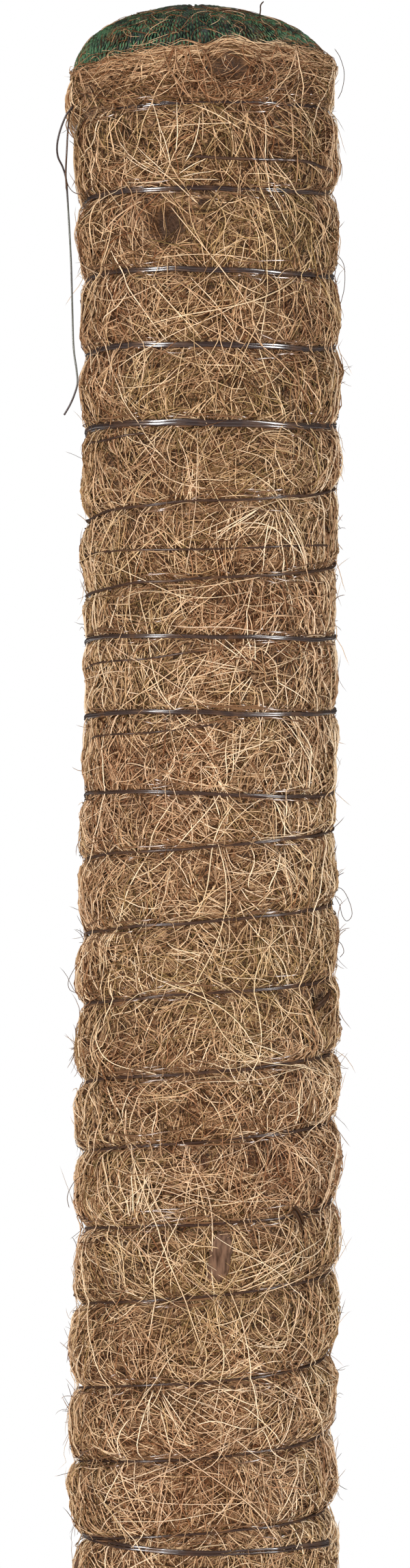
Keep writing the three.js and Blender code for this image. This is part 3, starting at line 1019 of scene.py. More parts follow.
def floor_finish():
    """Plain pale floor with a barely visible tooth."""
    finish = Finish("studio_floor", Specular_IOR_Level=0.2)
    tooth = finish.noise(60, 3.0)
    pale = tuple(colours().floor_pale)
    finish.set("Base Color", finish.mixed(tooth * 0.05, pale, tuple(0.9 * x for x in pale)))
    finish.set("Roughness", 0.85 + 0.1 * tooth)
    return finish.material


def add_piece(mesh_or_curve, slot, *nodes):
    """Puts a new piece in the scene, on the pole's body, in place of its frame nodes."""
    piece = bpy.data.objects.new(mesh_or_curve.name, mesh_or_curve)
    bpy.context.scene.collection.objects.link(piece)
    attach(piece, BODY)
    if nodes:
        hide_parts(*nodes)
    return piece


def thicken(piece, wall):
    """Gives a sheet its wall, inwards from its face."""
    modifier = piece.modifiers.new("wall", "SOLIDIFY")
    modifier.thickness, modifier.offset = wall, -1


def new_mesh(name, points, faces, material, held=None, places=None):
    """A smooth mesh from arrays of points and faces, with numbers held at its points and a colour map."""
    mesh = bpy.data.meshes.new(name)
    corners = np.concatenate([part.ravel() for part in faces])
    counts = np.concatenate([np.full(len(part), part.shape[1]) for part in faces])
    starts = np.concatenate([[0], counts.cumsum()[:-1]])
    mesh.vertices.add(len(points))
    mesh.vertices.foreach_set("co", np.ascontiguousarray(points, np.float32).ravel())
    mesh.loops.add(len(corners))
    mesh.loops.foreach_set("vertex_index", corners.astype(np.int32))
    mesh.polygons.add(len(counts))
    mesh.polygons.foreach_set("loop_start", starts.astype(np.int32))
    mesh.polygons.foreach_set("use_smooth", np.ones(len(counts), bool))
    for key, values in (held or {}).items():
        attribute = mesh.attributes.new(key, "FLOAT", "POINT")
        attribute.data.foreach_set("value", values.astype(np.float32).ravel())
    if places is not None:
        colour_map = mesh.uv_layers.new(name="OFBake")
        colour_map.data.foreach_set("uv", places.astype(np.float32).ravel())
    mesh.materials.append(material)
    mesh.update(calc_edges=True)
    mesh.validate()
    return mesh


def ring_mesh(name, rings, material, held=None, closed=False):
    """A mesh of rings, rings x sides x 3, each joined to the next, and if closed the last to the first."""
    count, sides = rings.shape[:2]
    bands = count if closed else count - 1
    row, side = np.meshgrid(np.arange(bands), np.arange(sides), indexing="ij")
    after = (side + 1) % sides
    here, beyond = row * sides, (row + 1) % count * sides
    faces = np.stack([here + side, here + after, beyond + after, beyond + side], -1)
    u = np.stack([side, side + 1, side + 1, side], -1) / sides
    v = np.stack([row, row, row + 1, row + 1], -1) / bands
    places = np.stack([u, v], -1)
    return new_mesh(name, rings.reshape(-1, 3), [faces.reshape(-1, 4)], material, held, places)


def profile_rings(profile, sides, rough=0.0, grit=None):
    """Rings round the axis for a profile of radius and height pairs, roughened by so much grit if given."""
    angle = TURN * np.arange(sides) / sides
    radius, height = np.asarray(profile, float).T[..., None]
    if grit:
        radius = radius + rough * grit.at(angle, height)
    x, y = radius * np.cos(angle), radius * np.sin(angle)
    return np.stack(np.broadcast_arrays(x, y, height), -1)


class Strands:
    """Many strands gathered into one mesh, each with pointed ends and its own cell of the colour map."""

    CELL_SHAPE, CELL_MARGIN = 3.5, 0.06

    def __init__(self):
        self.batches = []

    def add(self, centres, radii, shade, tone, sides=3, sunk=0.0, flat=1.0):
        """Adds lines, lines x points x 3, with a radius, shade, tone and depth in the mat at each point.

        A flatness below 1 makes strips that lie flat on the pole."""
        shape = centres.shape[:2]
        values = [np.broadcast_to(np.asarray(x, float), shape) for x in (radii, shade, tone, sunk)]
        self.batches.append((centres, *values, sides, flat))

    def skins(self, centres, radii, sides, flat):
        """Points round each line: its first end, its rings and its last end."""
        along = unit(np.gradient(centres, axis=1))
        outward = centres * (1, 1, 0)
        outward = unit(outward - (outward * along).sum(-1, keepdims=True) * along)
        across = np.cross(along, outward)
        turn = TURN * np.arange(sides) / sides
        thick, wide = flat * np.cos(turn)[:, None], np.sin(turn)[:, None]
        spoke = thick * outward[..., None, :] + wide * across[..., None, :]
        rings = centres[..., None, :] + radii[..., None, None] * spoke
        inner = rings[:, 1:-1].reshape(len(centres), -1, 3)
        return np.concatenate([centres[:, :1], inner, centres[:, -1:]], 1)

    def pattern(self, points, sides):
        """Faces of one strand and their places in its cell: end triangles, and the four-cornered sides."""
        side = np.arange(sides)
        after = (side + 1) % sides
        last = (points - 2) * sides + 1
        start = np.stack([0 * side, 1 + after, 1 + side], -1)
        end = np.stack([0 * side + last, last - sides + side, last - sides + after], -1)
        ring = 1 + sides * np.arange(points - 3)[:, None]
        beyond = ring + sides
        quads = np.stack([ring + side, ring + after, beyond + after, beyond + side], -1).reshape(-1, 4)
        step = 1 / (points - 1)
        low, high = side / sides, (side + 1) / sides
        start_v = np.stack([(low + high) / 2, high, low], -1)
        end_v = np.stack([(low + high) / 2, low, high], -1)
        start_u = np.broadcast_to([0, step, step], start_v.shape)
        end_u = np.broadcast_to([1, 1 - step, 1 - step], end_v.shape)
        here = ((1 + np.arange(points - 3)) * step)[:, None]
        shape = points - 3, sides, 4
        quad_u = np.broadcast_to(np.stack([here, here, here + step, here + step], -1), shape)
        quad_v = np.broadcast_to(np.stack([low, high, high, low], -1), shape)
        tri_places = np.concatenate([np.stack([start_u, start_v], -1), np.stack([end_u, end_v], -1)])
        quad_places = np.stack([quad_u, quad_v], -1).reshape(-1, 4, 2)
        return np.concatenate([start, end]), quads, tri_places, quad_places

    def build(self, name, material):
        """The strands as one mesh."""
        total = sum(len(batch[0]) for batch in self.batches)
        columns = max(1, round(math.sqrt(total / self.CELL_SHAPE)))
        cell = np.array([1 / columns, 1 / math.ceil(total / columns)])
        inside = 1 - 2 * self.CELL_MARGIN
        points, tris, quads, tri_places, quad_places = [], [], [], [], []
        held = {"shade": [], "tone": [], "sunk": []}
        done, first = 0, 0
        for centres, radii, shade, tone, sunk, sides, flat in self.batches:
            count, length = centres.shape[:2]
            skin = self.skins(centres, radii, sides, flat)
            tri, quad, tri_place, quad_place = self.pattern(length, sides)
            base = first + skin.shape[1] * np.arange(count)[:, None, None]
            index = done + np.arange(count)
            corner = np.stack([index % columns, index // columns], -1)[:, None, None] + self.CELL_MARGIN
            tris.append((base + tri).reshape(-1, 3))
            quads.append((base + quad).reshape(-1, 4))
            tri_places.append(((corner + inside * tri_place) * cell).reshape(-1, 2))
            quad_places.append(((corner + inside * quad_place) * cell).reshape(-1, 2))
            points.append(skin.reshape(-1, 3))
            for key, value in (("shade", shade), ("tone", tone), ("sunk", sunk)):
                inner = np.repeat(value[:, 1:-1], sides, 1)
                held[key].append(np.concatenate([value[:, :1], inner, value[:, -1:]], 1).ravel())
            first += skin.shape[0] * skin.shape[1]
            done += count
        faces = [np.concatenate(tris), np.concatenate(quads)]
        places = np.concatenate(tri_places + quad_places)
        held = {key: np.concatenate(parts) for key, parts in held.items()}
        return new_mesh(name, np.concatenate(points), faces, material, held, places)


def unit(vectors):
    """Vectors brought to a length of one."""
    return vectors / np.maximum(np.linalg.norm(vectors, axis=-1, keepdims=True), 1e-12)


def through(points, count):
    """A smooth line through a few points, with so many points of its own."""
    points = np.asarray(points, float)
    padded = np.concatenate([2 * points[:1] - points[1:2], points, 2 * points[-1:] - points[-2:-1]])
    place = np.linspace(0, len(points) - 1, count)
    span = np.minimum(place.astype(int), len(points) - 2)
    t = (place - span)[:, None]
    a, b, c, d = (padded[span + k] for k in range(4))
    return 0.5 * (2 * b + (c - a) * t + (2 * a - 5 * b + 4 * c - d) * t**2 + (3 * b - a - 3 * c + d) * t**3)


def walk(way, length):
    """How far one way lines have gone at each point, from the share of each step that goes there."""
    return np.cumsum(way, 1) * length / way.shape[1]


def centred(distance):
    """Distances along lines, counted from the middle of each."""
    return distance - distance.mean(1, keepdims=True)


def taper(t, share):
    """Width along a line from -0.5 to 0.5 that loses a share at both ends."""
    return 1 - share * np.abs(2 * t) ** 4


def dip(t, depth):
    """Depth along a line from -0.5 to 0.5 whose ends dive into the felt."""
    return depth * np.abs(2 * t) ** 6


def mirrored(height, low, high):
    """Folds heights back inside two limits, so that a line turns along an edge and doesn't pass it."""
    height = low + np.abs(height - low)
    return high - np.abs(high - height)


def curve_piece(name, points, radius, material, slot, nodes, cyclic=False):
    """A round strand along a line, as a curve."""
    curve = bpy.data.curves.new(name, "CURVE")
    curve.dimensions = "3D"
    curve.bevel_depth = radius
    curve.bevel_resolution = 3
    curve.use_fill_caps = True
    spline = curve.splines.new("POLY")
    spline.points.add(len(points) - 1)
    spline.points.foreach_set("co", np.column_stack([points, np.ones(len(points))]).ravel())
    spline.use_cyclic_u = cyclic
    spline.use_smooth = True
    curve.materials.append(material)
    return add_piece(curve, slot, *nodes)


class COIRPOLE_OT_stage(bpy.types.Operator):
    """Camera at the photograph's angle, soft lights, two tall cards that glint in the thread, and a floor"""

    bl_idname = "coir_pole.stage"
    bl_label = "Studio stage"

    def execute(self, context):
        self.set_camera(context)
        self.set_world(context)
        for lamp in LAMPS:
            self.soft_light(context, lamp)
        rings = profile_rings([(radius, 0) for radius in FLOOR_RADII], FLOOR_SIDES)
        floor = bpy.data.objects.new("floor", ring_mesh("floor", rings, floor_finish()))
        context.scene.collection.objects.link(floor)
        return {"FINISHED"}

    def set_camera(self, context):
        """A level camera at the photograph's distance."""
        data = bpy.data.cameras.new("camera")
        data.sensor_width = CAMERA_SENSOR
        data.lens = CAMERA_LENS
        camera = bpy.data.objects.new("camera", data)
        camera.location = CAMERA_PLACE
        camera.rotation_euler = (math.pi / 2, 0, 0)
        context.scene.collection.objects.link(camera)
        context.scene.camera = camera

    def set_world(self, context):
        """White to look at, softer as light and dimmer overhead, and dim in reflections."""
        world = bpy.data.worlds.new("studio")
        world.use_nodes = True
        world.node_tree.nodes.clear()
        sky = Nodes(world.node_tree)
        height = sky.height(sky.node("ShaderNodeTexCoord")["Generated"])
        limits = {"Value": height, "From Min": 0.2, "From Max": 0.9, "To Min": 0.29, "To Max": 0.16}
        shown = self.white(sky, sky.node("ShaderNodeMapRange", None, limits)["Result"])
        path = sky.node("ShaderNodeLightPath")
        for ray, strength in (("Is Glossy Ray", 0.08), ("Is Camera Ray", 1.0)):
            inputs = {0: path[ray], 1: shown, 2: self.white(sky, strength)}
            shown = sky.node("ShaderNodeMixShader", None, inputs)[0]
        sky.node("ShaderNodeOutputWorld", None, {"Surface": shown})
        context.scene.world = world
        context.scene.view_settings.view_transform = "Standard"

    def white(self, sky, strength):
        """White light of a strength from the sky."""
        inputs = {"Color": (1, 1, 1), "Strength": strength}
        return sky.node("ShaderNodeBackground", None, inputs)[0]

    def soft_light(self, context, lamp):
        """An area light aimed at the pole."""
        data = bpy.data.lights.new(lamp.name, "AREA")
        data.shape = "RECTANGLE"
        data.size, data.size_y = lamp.face
        data.energy = lamp.power
        data.color = lamp.tint
        light = bpy.data.objects.new(lamp.name, data)
        angle = around(lamp.degrees)
        light.location = (lamp.distance * math.cos(angle), lamp.distance * math.sin(angle), lamp.height)
        aim = Vector((0, 0, LAMP_AIM)) - light.location
        light.rotation_euler = aim.to_track_quat("-Z", "Y").to_euler()
        light.visible_camera = False
        light.visible_diffuse = lamp.diffuse
        light.visible_glossy = lamp.glossy
        context.scene.collection.objects.link(light)


class COIRPOLE_OT_tail(bpy.types.Operator):
    """Strand of thread left hanging from the upper knot"""

    bl_idname = "coir_pole.tail"
    bl_label = "Hanging tail"

    def execute(self, context):
        diameter = winding().tail_diameter
        line = through(TAIL_ROUTE, 150)
        tail = curve_piece("hanging_tail", line, diameter / 2, tail_finish(), "dark_thread", ["loose_tail"])
        return {"FINISHED"}


class COIRPOLE_OT_core(bpy.types.Operator):
    """Plastic core pipe and its plugs"""

    bl_idname = "coir_pole.core"
    bl_label = "Pipe and plugs"

    def execute(self, context):
        sides = 96
        pipe = ring_mesh("pipe_tube", profile_rings(self.pipe_profile(), sides), pipe_finish(), closed=True)
        add_piece(pipe, "grey_pipe", "core_pipe")
        plug = ring_mesh("foot_cap", profile_rings(self.plug_profile(), sides), plug_finish())
        add_piece(plug, "black_plug", "foot_plug")
        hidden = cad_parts["head_plug"]
        hidden.data.materials.clear()
        hidden.data.materials.append(plug.materials[0])
        return {"FINISHED"}

    def pipe_profile(self):
        """Outside and bore of the pipe, with eased rims."""
        outer, ease = PIPE_HIGH.x, 0.0003
        inner = outer - sizes().pipe_wall
        low, high = PIPE_LOW.z, PIPE_HIGH.z
        heights = np.linspace(low + ease, high - ease, 40)
        profile = [(inner, low + ease), (inner + ease, low), (outer - ease, low)]
        profile += [(outer, z) for z in heights]
        profile += [(outer - ease, high), (inner + ease, high)]
        profile += [(inner, z) for z in heights[::-8]]
        return profile

    def plug_profile(self):
        """Flange with a rounded lower rim and a shallow dished sole, and a ribbed hollow stem."""
        radius, top, hub = PLUG_HIGH.x, PLUG_HIGH.z, 0.00001
        rim, rim_steps, dish, bevel, clearance = 0.001, 6, 0.0004, 0.0002, 0.0003
        root, rib_rise, rib_half, ribs, stem_wall = 0.0072, 0.0006, 0.0003, 3, 0.0016
        flange = PIPE_LOW.z - clearance
        profile = [(hub, dish), (radius * 0.55, dish), (radius * 0.6, 0), (radius - rim, 0)]
        for step in range(1, rim_steps + 1):
            angle = math.pi / 2 * step / rim_steps
            profile.append((radius - rim + rim * math.sin(angle), rim - rim * math.cos(angle)))
        profile += [(radius, flange - bevel), (radius - bevel, flange), (root, flange)]
        step = (top - flange) / (ribs + 1)
        for rib in range(1, ribs + 1):
            crest, edge = flange + rib * step, root + rib_rise
            profile += [(root, crest - step / 2), (edge, crest - rib_half), (edge, crest + rib_half)]
        bore = root - stem_wall
        profile += [(root, top - step / 2), (root, top), (bore, top), (bore, flange), (hub, flange)]
        return profile


class COIRPOLE_OT_stuffing(bpy.types.Operator):
    """Packed coir round the pipe and the wad under the crown"""

    bl_idname = "coir_pole.stuffing"
    bl_label = "Packed coir"

    def execute(self, context):
        form = Form()
        material = felt_finish("packed_coir")
        sides = 72
        rings = profile_rings(self.core_profile(), sides, 0.00008, form.grit)
        core = add_piece(self.packed("packed_core", rings, material, True), "packed_coir", "inner_fill")
        rings = profile_rings(self.wad_profile(form), sides, 0.00006, form.grit)
        rings[..., 0] += np.interp(rings[..., 2], *zip(*SWAY))
        wad = add_piece(self.packed("crown_stuffing", rings, material), "packed_coir", "crown_wad")
        self.fringe(form)
        return {"FINISHED"}

    def packed(self, name, rings, material, closed=False):
        """A mesh of packed coir, which has no dark pockets."""
        held = {"pocket": np.zeros(rings.shape[:2])}
        return ring_mesh(name, rings, material, held, closed)

    def core_profile(self):
        """Outside, upper face, bore and lower face of the coir round the pipe."""
        outer, inner = FILL_HIGH.x, PIPE_HIGH.x + PACKING_GAP
        face = outer - 0.0008, inner + 0.0004
        heights = np.linspace(FILL_LOW.z, FILL_HIGH.z, 120)
        profile = [(outer - PACKING_SKIN, z) for z in heights]
        profile += [(r, heights[-1]) for r in np.linspace(*face, 5)]
        profile += [(inner, z) for z in heights[::-12]]
        profile += [(r, heights[0]) for r in np.linspace(*face[::-1], 9)]
        return profile

    def wad_profile(self, form):
        """Flat underside, waist in the net's neck and dome of the crown's stuffing."""
        hub, waist_inset, waist_height = 0.00002, 0.0009, 0.001
        wide, tall = WAD_HIGH.x, WAD_HIGH.z - form.dome_base
        waist = sizes().net_radius - waist_inset
        shoulder = (waist + wide) / 2, (form.neck + form.dome_base) / 2
        profile = [(hub, WAD_LOW.z)] + [(r, WAD_LOW.z) for r in np.linspace(0.002, waist, 8)]
        profile += [(waist, form.neck - waist_height), (waist, form.neck), shoulder]
        for angle in np.linspace(0, math.pi / 2, 28):
            profile.append((max(wide * math.cos(angle), hub), form.dome_base + tall * math.sin(angle)))
        return profile

    def fringe(self, form):
        """Short ends of packed fibre at the open lower face."""
        draw = np.random.default_rng(71)
        count, points, root = 260, 6, 0.0006
        one, t = (count, 1), np.linspace(0, 1, points)
        inner, outer = PIPE_HIGH.x, FILL_HIGH.x
        angle = draw.uniform(0, TURN, one) + draw.normal(0, 0.12, one) * t
        radius = draw.uniform(inner + 0.0008, outer - 0.0006, one) + draw.normal(0, 0.0008, one) * t
        radius = np.clip(radius, inner + PACKING_GAP, outer - PACKING_SKIN)
        height = FILL_LOW.z + root - draw.uniform(0.0006, 0.0026, one) * np.sin(t * 2.6)
        width = draw.uniform(0.00009, 0.00014, one) * (1 - 0.5 * t)
        shade = draw.uniform(0.1, 0.7, one)
        strands = Strands()
        strands.add(form.point(angle, radius, height), width, shade, 0.5)
        add_piece(strands.build("packed_ends", fibre_finish()), "packed_coir")


class COIRPOLE_OT_net(bpy.types.Operator):
    """Green net sleeve, drawn together over the crown"""

    bl_idname = "coir_pole.net"
    bl_label = "Net sleeve"

    def execute(self, context):
        form = Form()
        arc, radius, height = self.meridian(form)
        self.cloth(form, arc, radius, height)
        self.yarns(form, arc, radius, height)
        return {"FINISHED"}

    def meridian(self, form):
        """Length along the net from the top of the dome, with its radius and height there."""
        s = sizes()
        radius, height = form.dome(np.linspace(math.pi / 2, 0, 80))
        radius = np.concatenate([radius, np.linspace(s.dome_radius, s.net_radius, 10)[1:]])
        height = np.concatenate([height, np.linspace(form.dome_base, form.neck, 10)[1:]])
        radius = np.append(radius, s.net_radius)
        height = np.append(height, s.net_hem)
        return arc_length(radius, height), radius, height

    def gather(self, arc, angle):
        """Puckers where the net is drawn together at the top."""
        depth, middle, half = 0.00035, 0.004, 0.0028
        folds = np.cos(26 * angle + 2 * np.sin(3 * angle))
        return depth * np.exp(-(((arc - middle) / half) ** 2)) * folds

    def cloth(self, form, arc, radius, height):
        """One thin sheet from the gathered top to the hem."""
        s = sizes()
        sides, inset, drop, rough = 156, 0.0004, 0.0003, 0.00012
        hub, smooth_top = 0.00005, 0.003
        angle = TURN * np.arange(sides) / sides
        along = np.concatenate([np.linspace(0.0003, 0.034, 46), np.linspace(0.036, arc[-1], 60)])
        ring_radius = np.interp(along, arc, radius)[:, None] - inset
        ring_height = np.interp(along, arc, height)[:, None] - drop + self.gather(along[:, None], angle)
        grit = rough * form.grit.at(angle, ring_height) * (ring_radius > smooth_top)
        rings = form.point(angle, np.maximum(ring_radius, hub) + grit, ring_height)
        net = add_piece(ring_mesh("net_cloth", rings[::-1], net_cloth_finish()), "green_net", "net_sleeve")
        thicken(net, s.net_wall)

    def yarns(self, form, arc, radius, height):
        """Rows of stitches down the dome, each a looping yarn."""
        draw = np.random.default_rng(72)
        count, points, stitch, start, tuck = fibre().net_wales, 84, 0.00125, 0.0009, 0.0008
        sideways, wide, thickest, bulge, seat, drop = 0.13, 0.36, 0.00017, 0.00009, 0.00012, 0.0004
        angle = TURN * np.arange(count)[:, None] / count + draw.normal(0, 0.004, (count, 1))
        covered = np.interp(tuck - form.edge_height(angle), -height, arc)
        along = start + (covered - start) * np.linspace(0, 1, points)
        beat = TURN * along / stitch + draw.uniform(0, TURN, (count, 1))
        ring_radius = np.interp(along, arc, radius)
        spacing = TURN * ring_radius / count
        angle = angle + sideways * spacing / np.maximum(ring_radius, 0.001) * np.sin(beat)
        thick = np.minimum(spacing * wide, thickest) * (1 + 0.16 * np.sin(beat * 0.5))
        ring_height = np.interp(along, arc, height) + self.gather(along, angle)
        loop = np.sin(beat + 1.1)
        swell = bulge * loop
        patch = 0.32 * form.tint.at(angle, 12 * along) + draw.normal(0, 0.25, (count, 1))
        # Painted shade: lighter where a stitch swells out and darker in the valley between loops, with
        # random patches of tone
        shade = np.clip(0.46 + 0.45 * loop + patch, 0, 1)
        centres = form.point(angle, ring_radius + swell - seat, ring_height + 0.4 * swell - drop)
        strands = Strands()
        strands.add(centres, thick, shade, 0.0)
        add_piece(strands.build("net_yarns", net_yarn_finish()), "green_net")


class COIRPOLE_OT_felt(bpy.types.Operator):
    """Matted coir mat, swelling between the turns of thread"""

    bl_idname = "coir_pole.felt"
    bl_label = "Coir felt"

    def execute(self, context):
        form = Form()
        sides, rows, inner_rows, sunk, clearance = 176, 510, 12, 0.0003, 0.00025
        angle = TURN * np.arange(sides) / sides
        foot, edge = sizes().mat_foot, form.edge_height(angle)
        height = edge + (foot - edge) * np.linspace(0, 1, rows)[:, None]
        inner_height = foot + (edge - foot) * np.linspace(0, 1, inner_rows)[:, None]
        inner_radius = form.net_outside(inner_height) + clearance
        heights = np.concatenate([height, inner_height])
        radii = np.concatenate([form.felt(angle, height) - sunk, inner_radius])
        held = {"pocket": form.pocket(np.broadcast_to(angle, heights.shape), heights)}
        rings = form.point(angle, radii, heights)
        mesh = ring_mesh("coir_felt", rings, felt_finish("coir_felt"), held, True)
        mesh.flip_normals()
        felt = add_piece(mesh, "straw_coir", "coir_mat")
        return {"FINISHED"}


class COIRPOLE_OT_thread(bpy.types.Operator):
    """Binding thread of twisted plies with frayed strips beside it, its second passes and its two knots"""

    bl_idname = "coir_pole.thread"
    bl_label = "Binding thread"

    def execute(self, context):
        form = Form()
        material = thread_finish()
        strands = Strands()
        self.winding(form, strands)
        self.frayed_strips(form, strands)
        add_piece(strands.build("wound_thread", material), "dark_thread", "binding_thread")
        strands = Strands()
        self.faint_passes(form, strands)
        self.loop_strands(strands)
        add_piece(strands.build("faint_thread", material), "dark_thread")
        self.knot("upper_knot", "start_knot", material)
        self.knot("lower_knot", "end_knot", material)
        return {"FINISHED"}

    def winding(self, form, strands):
        """Three plies that lie flat side by side and slowly change places."""
        t = winding()
        per_turn, plies, lead, climb = 60, 3, 0.12, 0.00189
        ply_share, least_ply, seat, lap = 0.29, 0.00012, 0.00015, 0.00012
        turn = np.linspace(0, t.turns, t.turns * per_turn + 1)
        angle = thread_angle(turn)
        width = np.interp(turn, *zip(*THREAD_WIDTHS))
        lift = climb * (1 - smooth(0, lead, np.minimum(turn, t.turns - turn)))
        height = form.turn_height(turn) + 0.00008 * form.lumps.at(angle, turn * 0.01)
        ply = np.arange(plies)[:, None] / plies
        swing = TURN * (ply + 1.35 * turn + 0.1 * np.sin(3.1 * turn))
        thick = np.maximum(ply_share * width, least_ply) * (1 + 0.08 * np.sin(swing * 2.3))
        spread = width / 2 - ply_share * width
        radius = t.centre_radius + form.slack(height) + lift + seat + lap * np.cos(swing)
        centres = form.point(angle, radius, height + spread * np.sin(swing))
        worn = np.interp(turn, *zip(*THREAD_WEAR))
        strands.add(centres, thick, worn, 0.0, 6)

    def frayed_strips(self, form, strands):
        """Strips frayed from the thread, which lie flat beside it and glint with it."""
        count, points, sides, flatness, wear, brown = 1400, 8, 8, 0.25, 0.5, 1.0
        draw, one = np.random.default_rng(59), (count, 1)
        t = np.linspace(-0.5, 0.5, points)
        turn = draw.uniform(0.1, winding().turns - 0.1, one) + draw.uniform(0.03, 0.10, one) * t
        angle = thread_angle(turn)
        beside = draw.normal(0.0002, 0.0009, one) + draw.normal(0, 0.0008, one) * t
        height = form.turn_height(turn) + beside + 0.0001 * np.sin(TURN * (t + draw.random(one)))
        rise = draw.uniform(0.0002, 0.0006, one) - dip(t, 0.0006)
        wide = draw.uniform(0.00005, 0.00013, one)
        centres = form.point(angle, form.felt(angle, height) + rise, height)
        strands.add(centres, wide, wear, brown, sides, flat=flatness)

    def faint_passes(self, form, strands):
        """Thin single strands that come and go in the fibre."""
        draw = np.random.default_rng(73)
        more, points, sides, thin, worn = 14, 48, 5, 0.00016, 1.0
        passes = list(FAINT_PASSES)
        for _ in range(more):
            start, level = draw.uniform(95, 200), draw.uniform(0.13, 0.375)
            far = start + draw.uniform(50, 65), level + draw.normal(0, 0.0015)
            passes.append(((start, level), far, thin, worn))
        t = np.linspace(0, 1, points)
        for (from_degrees, low), (to_degrees, high), thick, wear in passes:
            angle = FRONT + np.radians(from_degrees + (to_degrees - from_degrees) * t)
            height = low + (high - low) * t + 0.0002 * np.sin(9 * t + 40 * low)
            rise = 0.0004 - 0.0007 * np.abs(2 * t - 1) ** 5 + 0.00014 * np.sin(31 * t)
            centres = form.point(angle, form.felt(angle, height) + rise, height)[None]
            strands.add(centres, thick, wear, 0.0, sides)

    def loop_strands(self, strands):
        """The second strand of the tail's loop, and the thin one that ties it back to the pole."""
        points, sides, wear, brown = 30, 6, 0.6, 0.3
        for thick, route in LOOP_STRANDS:
            strands.add(through(route, points)[None], thick, wear, brown, sides)

    def knot(self, name, node, material):
        """An overhand knot drawn tight, where the frame has its barrel."""
        low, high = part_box(node)
        middle, half = (low + high) / 2, (high - low) / 2
        thick, least_room, filled, loop_reach = 0.00024, 0.0004, 0.85, (1.0, 2.76, 2.76)
        t = np.linspace(0, TURN, 120, endpoint=False)
        x, y, z = np.sin(3 * t) * 0.9, np.sin(t) + 2 * np.sin(2 * t), np.cos(t) - 2 * np.cos(2 * t)
        room = filled * np.array([max(side - thick, least_room) for side in half]) / loop_reach
        line = np.array(middle) + np.stack([x, y, z], -1) * room
        curve_piece(name, line, thick, material, "dark_thread", [node], cyclic=True)


